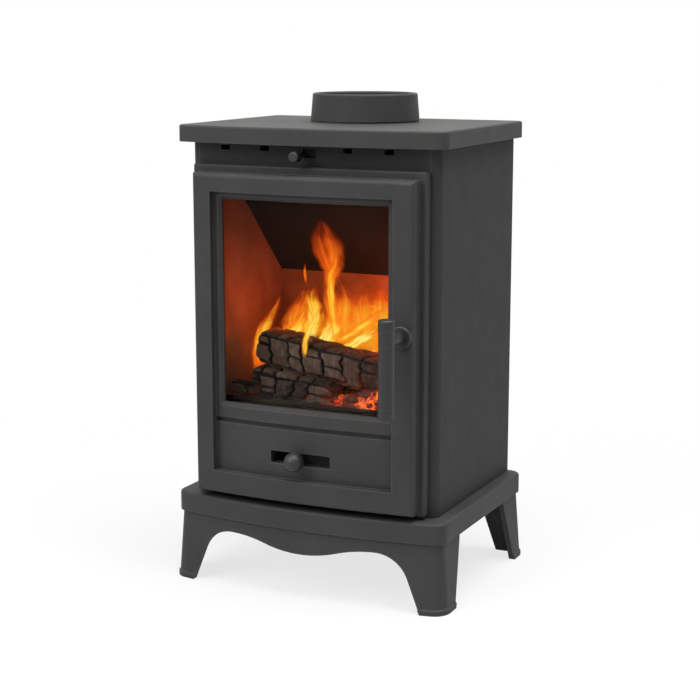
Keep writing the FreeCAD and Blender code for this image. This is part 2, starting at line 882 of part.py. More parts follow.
def top_plate():
    low = top_z - top_rim_height
    plate = outline_block(top_outline(0, low), top_rim_height)
    plate = plate.makeFillet(top_edge_round, level_edges(plate, top_z))
    hollow = outline_block(top_outline(-top_wall, low), top_rim_height - top_slab)
    half = top_half_width - top_wall
    hollow = hollow.fuse(box(-half, half, 0, top_back_y + overrun, low, top_slab_low_z))
    plate = plate.cut(hollow)
    for x, y in tie_places:
        low_boss = top_slab_low_z - top_boss_length
        plate = plate.fuse(rod_z(top_boss_radius, x, y, low_boss, top_slab_low_z))
        plate = plate.cut(rod_z(tie_radius + bolt_gap, x, y, low_boss - overrun,
                                low_boss + tie_thread_depth + bolt_gap))
    plate = plate.cut(rod_z(collar_bore, 0, collar_y, low - overrun, top_z + overrun))
    for x, y in collar_bolt_places():
        plate = plate.cut(rod_z(collar_bolt_radius + bolt_gap, x, y, low - overrun, top_z + overrun))
    return plate.removeSplitter()


def collar_gasket():
    back_z = top_z + collar_gasket_thickness
    ring = rod_z(collar_base_radius - collar_gasket_inset, 0, collar_y, top_z, back_z)
    ring = ring.cut(rod_z(collar_bore, 0, collar_y, top_z - overrun, back_z + overrun))
    for x, y in collar_bolt_places():
        ring = ring.cut(rod_z(collar_bolt_radius + bolt_gap, x, y, top_z - overrun, back_z + overrun))
    return ring


def flue_collar():
    low = top_z + collar_gasket_thickness
    high = low + collar_height
    cone = Part.makeCone(collar_base_radius, collar_top_radius, collar_height, V(0, collar_y, low), UP)
    collar = cone.cut(rod_z(collar_bore, 0, collar_y, low - overrun, high + overrun))
    collar = collar.makeFillet(collar_lip_round, level_edges(collar, high))
    for x, y in collar_bolt_places():
        collar = collar.cut(rod_z(collar_bolt_radius + bolt_gap, x, y, low - overrun, low + collar_bolt_depth))
    return collar


def collar_bolts():
    tip = top_z + collar_gasket_thickness + collar_bolt_depth - bolt_gap
    bolts = []
    for x, y in collar_bolt_places():
        shank = rod_z(collar_bolt_radius, x, y, top_slab_low_z, tip)
        head = hexagon(collar_bolt_head_radius, V(x, y, top_slab_low_z - collar_bolt_head_height), UP,
                       collar_bolt_head_height)
        bolts.append(shank.fuse(head))
    return group(bolts)


def tie_rods():
    low = base_slab_low_z - tie_nut_height - tie_tail
    high = top_slab_low_z - top_boss_length + tie_thread_depth
    return group([rod_z(tie_radius, x, y, low, high) for x, y in tie_places])


def tie_nuts():
    nuts = []
    for x, y in tie_places:
        nut = hexagon(tie_nut_radius, V(x, y, base_slab_low_z - tie_nut_height), UP, tie_nut_height)
        nuts.append(nut.cut(rod_z(tie_radius + bolt_gap, x, y, base_slab_low_z - tie_nut_height - overrun,
                                  base_slab_low_z + overrun)))
    return group(nuts)


# Firebox

def baffle_under_z(y):
    # Height of the baffle's underside, which the boards' sloping tops follow.
    return baffle_foot_z - (y - rear_board_front_y) * baffle_slope


def side_liner(side):
    inner = inner_half_width - side_board
    x0 = min(side * inner, side * inner_half_width)
    level_y = rear_board_front_y - (board_top_z - baffle_foot_z) / baffle_slope
    points = [
        V(x0, board_front_y, ledge_top_z),
        V(x0, rear_panel_y, ledge_top_z),
        V(x0, rear_panel_y, baffle_under_z(rear_panel_y)),
        V(x0, level_y, board_top_z),
        V(x0, board_front_y, board_top_z),
    ]
    return face_prism(points, RIGHT * side_board)


def rear_liner():
    half = inner_half_width - side_board
    points = [
        V(-half, rear_board_front_y, ledge_top_z),
        V(-half, rear_panel_y, ledge_top_z),
        V(-half, rear_panel_y, baffle_under_z(rear_panel_y)),
        V(-half, rear_board_front_y, baffle_foot_z),
    ]
    return face_prism(points, RIGHT * (2 * half))


def baffle_plate():
    half = inner_half_width - baffle_side_gap
    rise = baffle_thickness / math.cos(math.radians(baffle_angle))
    points = [
        V(-half, rear_panel_y, baffle_under_z(rear_panel_y)),
        V(-half, rear_panel_y, baffle_under_z(rear_panel_y) + rise),
        V(-half, baffle_front_y, baffle_under_z(baffle_front_y) + rise),
        V(-half, baffle_front_y, baffle_under_z(baffle_front_y)),
    ]
    return face_prism(points, RIGHT * (2 * half))


def grate_ledge(side):
    front = board_front_y - retainer_thickness
    inner = side * (inner_half_width - ledge_width)
    outer = side * inner_half_width
    web = side * (inner_half_width - ledge_sheet)
    shelf = box(min(inner, outer), max(inner, outer), front, rear_panel_y, ledge_top_z - ledge_sheet, ledge_top_z)
    return shelf.fuse(box(min(web, outer), max(web, outer), front, rear_panel_y,
                          ledge_top_z - ledge_drop, ledge_top_z)).removeSplitter()


def grate():
    high = ledge_top_z + grate_thickness
    casting = box(-grate_half_width, grate_half_width, grate_front_y, grate_back_y, ledge_top_z, high)
    pitch = grate_slot_width + grate_bar_width
    count = int((2 * (grate_half_width - grate_margin) + grate_bar_width) // pitch)
    middle = (grate_front_y + grate_back_y) / 2
    spans = ((grate_front_y + grate_margin, middle - grate_bar_width / 2),
             (middle + grate_bar_width / 2, grate_back_y - grate_margin))
    slots = []
    for i in range(count):
        x = pitch * (i - (count - 1) / 2)
        for y0, y1 in spans:
            slots.append(box(x - grate_slot_width / 2, x + grate_slot_width / 2, y0, y1,
                             ledge_top_z - overrun, high + overrun))
    return casting.cut(group(slots))


def fuel_retainer():
    bar = box(-retainer_half_width, retainer_half_width, board_front_y - retainer_thickness, board_front_y,
              ledge_top_z, ledge_top_z + retainer_height)
    edges = [e for e in level_edges(bar, ledge_top_z + retainer_height)
             if abs(e.BoundBox.YMin - board_front_y + retainer_thickness) < tiny and e.BoundBox.YLength < tiny]
    return bar.makeFillet(retainer_round, edges)


def log_block(length, half_depth, half_height):
    # Split log along X about the origin, with eight corners to its cross-section.
    points = [V(-length / 2, half_depth * across, half_height * up) for across, up in log_corner_shares]
    return face_prism(points, RIGHT * length)


def split_log(length, half_depth, half_height):
    # Burnt log, broken into blocks by cracks across it and along it.
    count = int(length // log_crack_pitch)
    reach_y = half_depth + overrun
    reach_z = half_height + overrun
    half = log_crack_width / 2
    slits = []
    for i in range(count):
        slit = box(-half, half, -reach_y, reach_y, -reach_z, reach_z)
        slit.rotate(V(0, 0, 0), V(0, 1, 1), log_crack_lean * (-1) ** i)
        slit.translate(RIGHT * (log_crack_pitch * (i - (count - 1) / 2)))
        slits.append(slit)
    low, high = (share * half_height for share in log_crack_level_shares)
    slits.append(box(-length, length, -reach_y, 0, low - half, low + half))
    slits.append(box(-length, length, 0, reach_y, high - half, high + half))
    slits.append(box(-length, length, low - half, low + half, 0, reach_z))
    core = log_block(2 * length, half_depth - log_crack_depth, half_height - log_crack_depth)
    return log_block(length, half_depth, half_height).cut([slit.cut(core) for slit in slits])


def lay_log(log, x, set_back, rise, tilt, turn, laid):
    # Turn a log, set it over the grate, and bed it on the grate and on the fuel already laid.
    log.rotate(V(0, 0, 0), BACK, tilt)
    log.rotate(V(0, 0, 0), UP, turn)
    log.translate(V(x, grate_front_y + set_back, hearth_z + rise))
    limits = log.BoundBox
    under = box(limits.XMin - overrun, limits.XMax + overrun, limits.YMin - overrun, limits.YMax + overrun,
                min(limits.ZMin, hearth_z) - overrun, hearth_z)
    return log.cut([under] + laid)


def fuel_logs():
    lower = lay_log(split_log(lower_log_length, lower_log_half_depth, lower_log_half_height),
                    lower_log_x, lower_log_set_back, lower_log_rise, lower_log_tilt, lower_log_turn, [])
    rear = lay_log(split_log(rear_log_length, rear_log_half_depth, rear_log_half_height),
                   rear_log_x, rear_log_set_back, rear_log_rise, 0, rear_log_turn, [])
    upper = lay_log(split_log(upper_log_length, upper_log_half_depth, upper_log_half_height),
                    upper_log_x, upper_log_set_back, upper_log_rise, upper_log_tilt, upper_log_turn,
                    [lower, rear])
    stick = lay_log(split_log(stick_length, stick_half_depth, stick_half_height),
                    stick_x, stick_set_back, stick_rise, 0, stick_turn, [lower])
    return [lower, rear, upper, stick]


def ember_section(y, heights):
    half = grate_half_width - ember_side_gap
    points = [V(half * share, y, hearth_z + height) for share, height in zip(ember_x_shares, heights)]
    points = points + [V(half, y, hearth_z), V(-half, y, hearth_z)]
    return Part.makePolygon(points + points[:1])


def ember_bed(laid):
    # Heap of coals, low at its edges and highest at the front right, around the logs that lie in it.
    count = len(ember_x_shares)
    front = grate_front_y + ember_front_gap
    crest = (ember_low, ember_middle, ember_middle, ember_high, ember_middle, ember_low)
    heap = Part.makeLoft([
        ember_section(front, [ember_low] * count),
        ember_section(front + ember_crest_set_back, crest),
        ember_section(grate_back_y - ember_back_gap, [ember_low] * count),
    ], True, True)
    return max(heap.cut(laid).Solids, key=lambda solid: solid.Volume)


def ash_pan():
    low = base_top_z + runner_height
    high = low + pan_height
    block = box(-pan_half_width, pan_half_width, pan_front_y, pan_back_y, low, high)
    upright = [e for e in block.Edges if abs(e.tangentAt(e.FirstParameter).z) > 1 - tiny]
    block = block.makeFillet(pan_round, upright)
    half = pan_half_width - pan_wall
    hollow = box(-half, half, pan_front_y + pan_wall, pan_back_y - pan_wall, low + pan_wall, high + overrun)
    upright = [e for e in hollow.Edges if abs(e.tangentAt(e.FirstParameter).z) > 1 - tiny]
    pan = block.cut(hollow.makeFillet(pan_round - pan_wall, upright))
    grip_high = high - pan_grip_drop
    grip = box(-pan_grip_half_width, pan_grip_half_width, pan_front_y - pan_grip_reach, pan_front_y,
               grip_high - pan_grip_bar, grip_high)
    inner = pan_grip_half_width - pan_grip_bar
    grip = grip.cut(box(-inner, inner, pan_front_y - pan_grip_reach + pan_grip_bar, pan_front_y,
                        grip_high - pan_grip_bar - overrun, grip_high + overrun))
    return pan.fuse(grip).removeSplitter()


def ash_pan_runners():
    runners = []
    for side in (-1, 1):
        x = side * runner_x
        runners.append(box(x - runner_width / 2, x + runner_width / 2, pan_front_y, pan_back_y,
                           base_top_z, base_top_z + runner_height))
    return group(runners)


# Airwash control

def wash_guides():
    straps = []
    back_y = frame_back_y + wash_sheet + 2 * slide_gap
    for side in (-1, 1):
        x0 = vent_shift_x + side * wash_guide_x - wash_guide_width / 2
        x1 = x0 + wash_guide_width
        low_edge = wash_low_z - slide_gap
        high_edge = wash_high_z + slide_gap
        strap = box(x0, x1, back_y, back_y + wash_guide_strap, low_edge - wash_guide_foot,
                    high_edge + wash_guide_foot)
        low_foot = box(x0, x1, frame_back_y, back_y, low_edge - wash_guide_foot, low_edge)
        high_foot = box(x0, x1, frame_back_y, back_y, high_edge, high_edge + wash_guide_foot)
        straps.append(strap.fuse([low_foot, high_foot]).removeSplitter())
    return group(straps)


def wash_plate():
    front = frame_back_y + slide_gap
    plate = box(vent_shift_x - wash_half_length, vent_shift_x + wash_half_length, front, front + wash_sheet,
                wash_low_z, wash_high_z)
    for x in vent_places:
        plate = plate.cut(box(x - vent_width / 2, x + vent_width / 2, front - overrun,
                              front + wash_sheet + overrun, vent_z - vent_height, vent_z + vent_height))
    return plate.cut(rod_y(wash_rod_radius + bolt_gap, wash_rod_x, wash_rod_z, front - overrun,
                           front + wash_sheet + overrun))


def wash_rod():
    tip = body_front_y - wash_knob_stand_off - wash_knob_length / 2
    return rod_y(wash_rod_radius, wash_rod_x, wash_rod_z, tip, frame_back_y + slide_gap + wash_sheet)


def wash_knob():
    back = body_front_y - wash_knob_stand_off
    front = back - wash_knob_length
    knob = rod_y(wash_knob_radius, wash_rod_x, wash_rod_z, front, back)
    knob = knob.makeFillet(wash_knob_round, depth_edges(knob, front))
    return knob.cut(rod_y(wash_rod_radius + bolt_gap, wash_rod_x, wash_rod_z,
                          back - wash_knob_length / 2 - bolt_gap, back + overrun))


def airwash_deflector():
    wall = box(-deflector_half_width, deflector_half_width, deflector_y, deflector_y + deflector_sheet,
               deflector_low_z, top_slab_low_z)
    shelf = box(-deflector_half_width, deflector_half_width, frame_back_y + deflector_slit, deflector_y,
                deflector_low_z, deflector_low_z + deflector_sheet)
    return wall.fuse(shelf).removeSplitter()


# Door

def bow_drum(depth):
    # Drum behind the bowed door face, or behind a surface set back from it by a depth.
    return rod_z(bow_radius - depth, 0, bow_centre_y, lip_low_z - overrun, lip_high_z + overrun)


def bow_y(x, depth):
    return bow_centre_y - math.sqrt((bow_radius - depth) ** 2 - x ** 2)


def front_recess(x0, x1, z0, z1, depth):
    front = face_y - door_bow - overrun
    return box(x0, x1, front, lip_front_y, z0, z1).cut(bow_drum(depth))


def rope_ring(width, y0, y1):
    half = width / 2
    outer = rounded_window(rope_left_x - half, rope_right_x + half, rope_low_z - half, rope_high_z + half,
                           rope_corner + half, y0, y1)
    inner = rounded_window(rope_left_x + half, rope_right_x - half, rope_low_z + half, rope_high_z - half,
                           rope_corner - half, y0 - overrun, y1 + overrun)
    return outer.cut(inner)


def door_shell():
    lip = rounded_window(-lip_half_width, lip_half_width, lip_low_z, lip_high_z, lip_round,
                         lip_front_y, door_back_y)
    lip = lip.makeFillet(lip_round, depth_edges(lip, lip_front_y))
    front = face_y - door_bow - overrun
    raised = box(-face_half_width, face_half_width, front, lip_front_y, face_low_z, face_high_z)
    raised = raised.common(bow_drum(0))
    outer = [e for e in raised.Edges if e.BoundBox.YMax < lip_front_y - tiny]
    raised = raised.makeFillet(face_round, outer)
    shell = lip.fuse(raised)
    return shell.cut(front_recess(-recess_half_width, recess_half_width, recess_low_z, recess_high_z,
                                  recess_depth))


def door_window(shell):
    shell = shell.cut(box(-window_half_width, window_half_width, face_y - door_bow - overrun,
                          door_back_y + overrun, window_low_z, window_high_z))
    front_limit = bow_y(0, recess_depth) - tiny
    back_limit = bow_y(window_half_width, recess_depth) + tiny
    rim = []
    for edge in shell.Edges:
        room = edge.BoundBox
        across = abs(room.XLength - 2 * window_half_width) < tiny and room.ZLength < tiny
        upright = abs(room.ZLength - window_high_z + window_low_z) < tiny and room.XLength < tiny
        if (across or upright) and room.YMin > front_limit and room.YMax < back_limit:
            rim.append(edge)
    return shell.makeChamfer(window_bevel, rim)


def door_frame():
    shell = door_shell()
    shell = shell.cut(box(-pocket_half_width, pocket_half_width, pocket_y, door_back_y + overrun,
                          pocket_low_z, pocket_high_z))
    shell = door_window(shell)
    shell = shell.cut(front_recess(-recess_half_width, recess_half_width, groove_low_z,
                                   groove_low_z + groove_height, recess_depth + groove_depth))
    half_slot = air_slot_width / 2
    shell = shell.cut(rounded_window(air_slot_x - half_slot, air_slot_x + half_slot,
                                     air_slot_z - air_slot_height / 2, air_slot_z + air_slot_height / 2,
                                     air_slot_round, face_y - door_bow, pocket_y + overrun))
    shell = shell.cut(rope_ring(rope_width, door_back_y - rope_channel_depth, door_back_y + overrun))
    shell = shell.cut(rod_y(spindle_radius + running_gap, spindle_x, spindle_z, face_y - door_bow - overrun,
                            door_back_y + overrun))
    for x, z in clip_screw_places():
        shell = shell.cut(rod_y(clip_screw_radius + bolt_gap, x, z, pocket_y - clip_screw_bite - bolt_gap,
                                pocket_y + overrun))
    for z in hinge_levels:
        seat = z + hinge_bracket_height + slide_gap
        high = seat + hinge_knuckle_length
        shell = shell.cut(rod_z(hinge_relief_radius, hinge_x, hinge_y, z - slide_gap, high + hinge_lift_room))
        knuckle = rod_z(hinge_knuckle_radius, hinge_x, hinge_y, seat, high)
        arm = box(hinge_x, hinge_x + hinge_relief_radius, lip_front_y, door_back_y, seat, high)
        shell = shell.fuse(knuckle.fuse(arm))
        shell = shell.cut(rod_z(hinge_pin_radius + running_gap, hinge_x, hinge_y, z, high + overrun))
    return shell.removeSplitter()


def door_rope():
    back = body_front_y - slide_gap
    ring = rope_ring(rope_width, door_back_y - rope_channel_depth, back)
    return ring.makeFillet(rope_round, depth_edges(ring, back))


def glass_block(lap, y0, y1):
    return box(-window_half_width - lap, window_half_width + lap, y0, y1, window_low_z - lap, window_high_z + lap)


def door_glass():
    return glass_block(glass_lap, gasket_back_y, glass_back_y)


def door_glass_gasket():
    ring = glass_block(glass_lap, pocket_y, gasket_back_y)
    return ring.cut(glass_block(glass_lap - glass_gasket_width, pocket_y - overrun, gasket_back_y + overrun))


def clip_levels():
    # Edge of the glass and direction away from it, for the clips below and above it.
    return ((window_low_z - glass_lap, -1), (window_high_z + glass_lap, 1))


def clip_screw_places():
    return [(x, edge + away * (clip_gap + clip_foot / 2)) for x in clip_places for edge, away in clip_levels()]


def glass_clips():
    clips = []
    for x in clip_places:
        for edge, away in clip_levels():
            inner = edge + away * clip_gap
            outer = inner + away * clip_foot
            tip = edge - away * clip_finger
            back = glass_back_y + clip_sheet
            foot = box(x - clip_half_width, x + clip_half_width, pocket_y, back, min(inner, outer),
                       max(inner, outer))
            finger = box(x - clip_half_width, x + clip_half_width, glass_back_y, back, min(inner, tip),
                         max(inner, tip))
            screw_z = edge + away * (clip_gap + clip_foot / 2)
            clip = foot.fuse(finger).removeSplitter()
            clips.append(clip.cut(rod_y(clip_screw_radius + bolt_gap, x, screw_z, pocket_y - overrun,
                                        back + overrun)))
    return group(clips)


def glass_clip_screws():
    back = glass_back_y + clip_sheet
    screws = []
    for x, z in clip_screw_places():
        shank = rod_y(clip_screw_radius, x, z, pocket_y - clip_screw_bite, back)
        head = rod_y(clip_screw_head_radius, x, z, back, back + clip_screw_head_height)
        screws.append(shank.fuse(head))
    return group(screws)


def hinge_bracket(z):
    high = z + hinge_bracket_height
    eye = rod_z(hinge_bracket_radius, hinge_x, hinge_y, z, high)
    arm = box(hinge_x - hinge_bracket_radius, hinge_x + hinge_bracket_radius, hinge_y, body_front_y, z, high)
    return eye.fuse(arm).cut(rod_z(hinge_pin_radius, hinge_x, hinge_y, z - overrun, high + overrun))


def hinge_pins():
    pins = []
    for z in hinge_levels:
        high = z + hinge_bracket_height + slide_gap + hinge_knuckle_length + hinge_pin_tail
        pins.append(rod_z(hinge_pin_radius, hinge_x, hinge_y, z, high))
    return group(pins)


# Handle and latch

def handle_escutcheon():
    front = bow_y(spindle_x, 0) - escutcheon_thickness
    ring = rod_y(escutcheon_radius, spindle_x, spindle_z, front, lip_front_y)
    ring = ring.makeFillet(escutcheon_round, depth_edges(ring, front))
    ring = ring.cut(bow_drum(0))
    return ring.cut(rod_y(spindle_radius + running_gap, spindle_x, spindle_z, front - overrun, lip_front_y))


def handle_grip():
    bar = rod_z(grip_radius, spindle_x, grip_y, grip_low_z + cap_length, grip_high_z - cap_length)
    return bar.cut(rod_y(tenon_radius + bolt_gap, spindle_x, spindle_z, grip_y, grip_y + grip_radius + overrun))


def handle_end_caps():
    low = rod_z(cap_radius, spindle_x, grip_y, grip_low_z, grip_low_z + cap_length)
    high = rod_z(cap_radius, spindle_x, grip_y, grip_high_z - cap_length, grip_high_z)
    low = low.makeFillet(cap_round, level_edges(low, grip_low_z))
    high = high.makeFillet(cap_round, level_edges(high, grip_high_z))
    return group([low, high])


def handle_spindle():
    shaft = rod_y(spindle_radius, spindle_x, spindle_z, grip_y, tongue_front_y)
    shaft = shaft.cut(rod_z(grip_radius, spindle_x, grip_y, grip_low_z, grip_high_z))
    tenon = rod_y(tenon_radius, spindle_x, spindle_z, grip_y + bolt_gap, grip_y + grip_radius + spindle_radius)
    neck = rod_y(spindle_neck_radius, spindle_x, spindle_z, tongue_front_y,
                 tongue_back_y + latch_nut_height + latch_thread_tail)
    return shaft.fuse([tenon, neck]).removeSplitter()


def latch_tongue():
    hub = rod_y(tongue_hub_radius, spindle_x, spindle_z, tongue_front_y, tongue_back_y)
    tip_x = spindle_x + tongue_reach - tongue_half_width
    arm = box(spindle_x, tip_x, tongue_front_y, tongue_back_y, spindle_z - tongue_half_width,
              spindle_z + tongue_half_width)
    tip = rod_y(tongue_half_width, tip_x, spindle_z, tongue_front_y, tongue_back_y)
    tongue = hub.fuse([arm, tip]).removeSplitter()
    return tongue.cut(rod_y(spindle_neck_radius + bolt_gap, spindle_x, spindle_z, tongue_front_y - overrun,
                            tongue_back_y + overrun))


def latch_nut():
    nut = hexagon(latch_nut_radius, V(spindle_x, tongue_back_y, spindle_z), BACK, latch_nut_height)
    return nut.cut(rod_y(spindle_neck_radius + bolt_gap, spindle_x, spindle_z, tongue_back_y - overrun,
                         tongue_back_y + latch_nut_height + overrun))


def keeper_screw_places():
    x = (keeper_left_x + keeper_right_x) / 2
    return [(x, spindle_z - keeper_screw_offset), (x, spindle_z + keeper_screw_offset)]


def latch_keeper():
    back = frame_back_y + keeper_thickness
    plate = box(keeper_left_x, keeper_right_x, frame_back_y, back, spindle_z - keeper_half_height,
                spindle_z + keeper_half_height)
    for x, z in keeper_screw_places():
        plate = plate.cut(rod_y(keeper_screw_radius + bolt_gap, x, z, frame_back_y - overrun, back + overrun))
        plate = plate.cut(rod_y(keeper_screw_head_radius + bolt_gap, x, z, back - keeper_screw_head_height,
                                back + overrun))
    return plate


def keeper_screws():
    back = frame_back_y + keeper_thickness
    screws = []
    for x, z in keeper_screw_places():
        shank = rod_y(keeper_screw_radius, x, z, back - keeper_screw_length, back)
        head = rod_y(keeper_screw_head_radius, x, z, back - keeper_screw_head_height, back)
        screws.append(shank.fuse(head).removeSplitter())
    return group(screws)


# Primary air control

def air_plate():
    front = pocket_y + slide_gap
    plate = box(air_knob_x - air_plate_half_length, air_knob_x + air_plate_half_length, front,
                front + air_plate_sheet, air_slot_z - air_plate_half_height, air_slot_z + air_plate_half_height)
    plate = plate.cut(box(air_window_left_x, air_window_right_x, front - overrun,
                          front + air_plate_sheet + overrun, air_slot_z - air_slot_height / 2,
                          air_slot_z + air_slot_height / 2))
    return plate.cut(rod_y(air_stem_radius / 2 + bolt_gap, air_knob_x, air_slot_z, front - overrun,
                           front + air_plate_sheet + overrun))


def air_knob():
    centre_y = panel_front_y - air_knob_stand_off
    ball = Part.makeSphere(air_knob_radius, V(air_knob_x, centre_y, air_slot_z))
    stem = rod_y(air_stem_radius, air_knob_x, air_slot_z, centre_y, pocket_y + slide_gap)
    peg = rod_y(air_stem_radius / 2, air_knob_x, air_slot_z, centre_y, pocket_y + slide_gap + air_plate_sheet)
    return ball.fuse([stem, peg]).removeSplitter()


def air_guides():
    straps = []
    back_y = pocket_y + air_plate_sheet + 2 * slide_gap
    low_edge = air_slot_z - air_plate_half_height - slide_gap
    high_edge = air_slot_z + air_plate_half_height + slide_gap
    for side in (-1, 1):
        x0 = side * air_guide_x - air_guide_width / 2
        x1 = x0 + air_guide_width
        strap = box(x0, x1, back_y, back_y + air_guide_strap, low_edge - air_guide_foot / 2,
                    high_edge + air_guide_foot)
        low_foot = box(x0, x1, pocket_y, back_y, low_edge - air_guide_foot / 2, low_edge)
        high_foot = box(x0, x1, pocket_y, back_y, high_edge, high_edge + air_guide_foot)
        straps.append(strap.fuse([low_foot, high_foot]).removeSplitter())
    return group(straps)


# Whole stove

def build():
    front_legs, rear_left_leg, rear_right_leg = leg_castings()
    lower_log, rear_log, upper_log, stick = fuel_logs()
    return {
        "base_plate": base_plate(),
        "front_legs_apron": front_legs,
        "rear_left_leg": rear_left_leg,
        "rear_right_leg": rear_right_leg,
        "leg_bolts": leg_bolts(),
        "left_side_panel": side_panel(-1),
        "right_side_panel": side_panel(1),
        "front_frame": front_frame(),
        "rear_panel": rear_panel(),
        "rear_blanking_plate": rear_blanking_plate(),
        "blanking_plate_bolts": blanking_bolts(),
        "rear_heat_shield": heat_shield(),
        "heat_shield_spacers": shield_spacers(),
        "heat_shield_screws": shield_screws(),
        "top_plate": top_plate(),
        "flue_collar": flue_collar(),
        "collar_gasket": collar_gasket(),
        "collar_bolts": collar_bolts(),
        "tie_rods": tie_rods(),
        "tie_rod_nuts": tie_nuts(),
        "left_fire_board": side_liner(-1),
        "right_fire_board": side_liner(1),
        "rear_fire_board": rear_liner(),
        "baffle": baffle_plate(),
        "left_grate_ledge": grate_ledge(-1),
        "right_grate_ledge": grate_ledge(1),
        "grate": grate(),
        "fuel_retainer": fuel_retainer(),
        "lower_log": lower_log,
        "rear_log": rear_log,
        "upper_log": upper_log,
        "small_log": stick,
        "ember_bed": ember_bed([lower_log, rear_log, upper_log, stick]),
        "ash_pan": ash_pan(),
        "ash_pan_runners": ash_pan_runners(),
        "airwash_deflector": airwash_deflector(),
        "airwash_guides": wash_guides(),
        "airwash_slide": wash_plate(),
        "airwash_rod": wash_rod(),
        "airwash_knob": wash_knob(),
        "lower_hinge_bracket": hinge_bracket(hinge_low_z),
        "upper_hinge_bracket": hinge_bracket(hinge_high_z),
        "hinge_pins": hinge_pins(),
        "latch_keeper": latch_keeper(),
        "keeper_screws": keeper_screws(),
        "door_frame": door_frame(),
        "door_glass": door_glass(),
        "glass_gasket": door_glass_gasket(),
        "glass_clips": glass_clips(),
        "glass_clip_screws": glass_clip_screws(),
        "door_rope": door_rope(),
        "handle_escutcheon": handle_escutcheon(),
        "air_slide_guides": air_guides(),
        "handle_grip": handle_grip(),
        "handle_end_caps": handle_end_caps(),
        "handle_spindle": handle_spindle(),
        "latch_tongue": latch_tongue(),
        "latch_nut": latch_nut(),
        "primary_air_slide": air_plate(),
        "primary_air_knob": air_knob(),
    }


os.makedirs("parts", exist_ok=True)
for name, shape in build().items():
    shape.translate(V(0, -origin_y, 0))
    shape.exportStep(os.path.join("parts", name + ".step"))
    print(name, len(shape.Solids), shape.isValid(), round(shape.Volume))
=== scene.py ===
import json
import math
import random

import bmesh
import bpy
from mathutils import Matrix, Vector, noise


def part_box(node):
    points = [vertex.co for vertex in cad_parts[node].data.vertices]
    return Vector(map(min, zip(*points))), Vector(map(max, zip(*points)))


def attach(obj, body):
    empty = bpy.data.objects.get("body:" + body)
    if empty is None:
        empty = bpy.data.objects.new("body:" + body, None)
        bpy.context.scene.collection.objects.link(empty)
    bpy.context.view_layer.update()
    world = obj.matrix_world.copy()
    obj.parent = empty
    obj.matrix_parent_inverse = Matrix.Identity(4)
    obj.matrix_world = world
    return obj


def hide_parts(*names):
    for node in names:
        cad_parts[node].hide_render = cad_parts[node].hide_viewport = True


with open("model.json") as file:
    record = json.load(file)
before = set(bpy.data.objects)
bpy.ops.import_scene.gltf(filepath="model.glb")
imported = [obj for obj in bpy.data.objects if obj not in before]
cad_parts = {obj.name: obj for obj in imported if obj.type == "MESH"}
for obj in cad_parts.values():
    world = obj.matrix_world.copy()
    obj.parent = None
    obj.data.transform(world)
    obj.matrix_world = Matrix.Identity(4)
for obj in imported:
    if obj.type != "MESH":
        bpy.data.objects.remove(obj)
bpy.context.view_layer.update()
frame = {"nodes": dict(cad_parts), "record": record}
nodes = frame["nodes"]

# Lengths are in metres, angles in degrees, lamp power in watts, and colours are linear.

# Camera, fitted to the photograph
camera_place = (0.94408, -1.96569, 0.72879)
camera_turn = (79.11, 0.0, 25.41)
camera_lens = 84.70
camera_sensor = 36.0

# Studio
floor_half = 9.0
floor_tone = (0.86, 0.86, 0.86, 1)
floor_near = 0.25
floor_far = 1.1
floor_glow_shares = (0.76, 1.0)
background_tone = (1, 1, 1, 1)
world_light = 0.13
key_place = (-1.35, -2.5, 2.4)
key_size = 2.6
key_watts = 76.0
top_place = (0.5, -0.1, 2.6)
top_size = 2.2
top_watts = 76.0
fill_place = (1.5, -0.5, 2.4)
fill_size = 1.2
fill_watts = 9.0
light_target = Vector((0.0, 0.0, 0.34))

# Finishes
paint_tones = ((0.029, 0.0285, 0.028, 1), (0.040, 0.039, 0.038, 1))
satin_tones = ((0.013, 0.0128, 0.0126, 1), (0.019, 0.0187, 0.0184, 1))
# Tone of worn edges, also a painted highlight along them
worn_edge_highlight_tone = (0.120, 0.118, 0.114, 1)
# Tone of dusty specks, and of painted light from above on upward faces
dust_and_top_light_tone = (0.070, 0.068, 0.065, 1)
worn_highlight_radius = 0.0024
paint_relief = 0.0006
cast_soft_edge = 0.0012
sheet_soft_edge = 0.0008
fitting_soft_edge = 0.0006
brick_relief = 0.0012
ash_low_z = 0.235
ash_high_z = 0.310
soot_low_z = 0.36
soot_high_z = 0.53
iron_relief = 0.0008
iron_soft_edge = 0.0012
steel_relief = 0.0003
steel_soft_edge = 0.0006
rope_relief = 0.0012
char_relief = 0.0016
coal_relief = 0.0015
iron_tones = ((0.016, 0.013, 0.011, 1), (0.032, 0.026, 0.019, 1), (0.062, 0.048, 0.033, 1))
slide_tones = ((0.010, 0.0098, 0.0096, 1), (0.017, 0.0167, 0.0163, 1), (0.027, 0.0265, 0.026, 1))
soot_tones = ((0.005, 0.003, 0.002, 1), (0.011, 0.006, 0.004, 1), (0.024, 0.012, 0.008, 1))
flame_tones = (
    (0.0, (0.20, 0.006, 0.0, 1)),
    (0.22, (0.70, 0.055, 0.003, 1)),
    (0.42, (1.0, 0.15, 0.006, 1)),
    (0.62, (1.0, 0.36, 0.014, 1)),
    (0.80, (1.0, 0.61, 0.045, 1)),
    (1.0, (1.0, 0.84, 0.20, 1)),
)
flame_strength = 1.05
char_strength = 1.2
coal_strength = 1.3
brick_tones = ((0.32, 0.13, 0.05, 1), (0.46, 0.20, 0.085, 1))
brick_flake_tone = (0.56, 0.32, 0.16, 1)
brick_soot_tone = (0.045, 0.024, 0.014, 1)
brick_ash_tone = (0.20, 0.175, 0.15, 1)
steel_tones = ((0.05, 0.049, 0.047, 1), (0.11, 0.108, 0.104, 1))
glass_tones = ((0.93, 0.90, 0.87, 1), (0.97, 0.95, 0.93, 1))
glass_ior = 1.08
fibre_tones = ((0.2, (0.018, 0.018, 0.018, 1)), (0.9, (0.075, 0.073, 0.07, 1)))
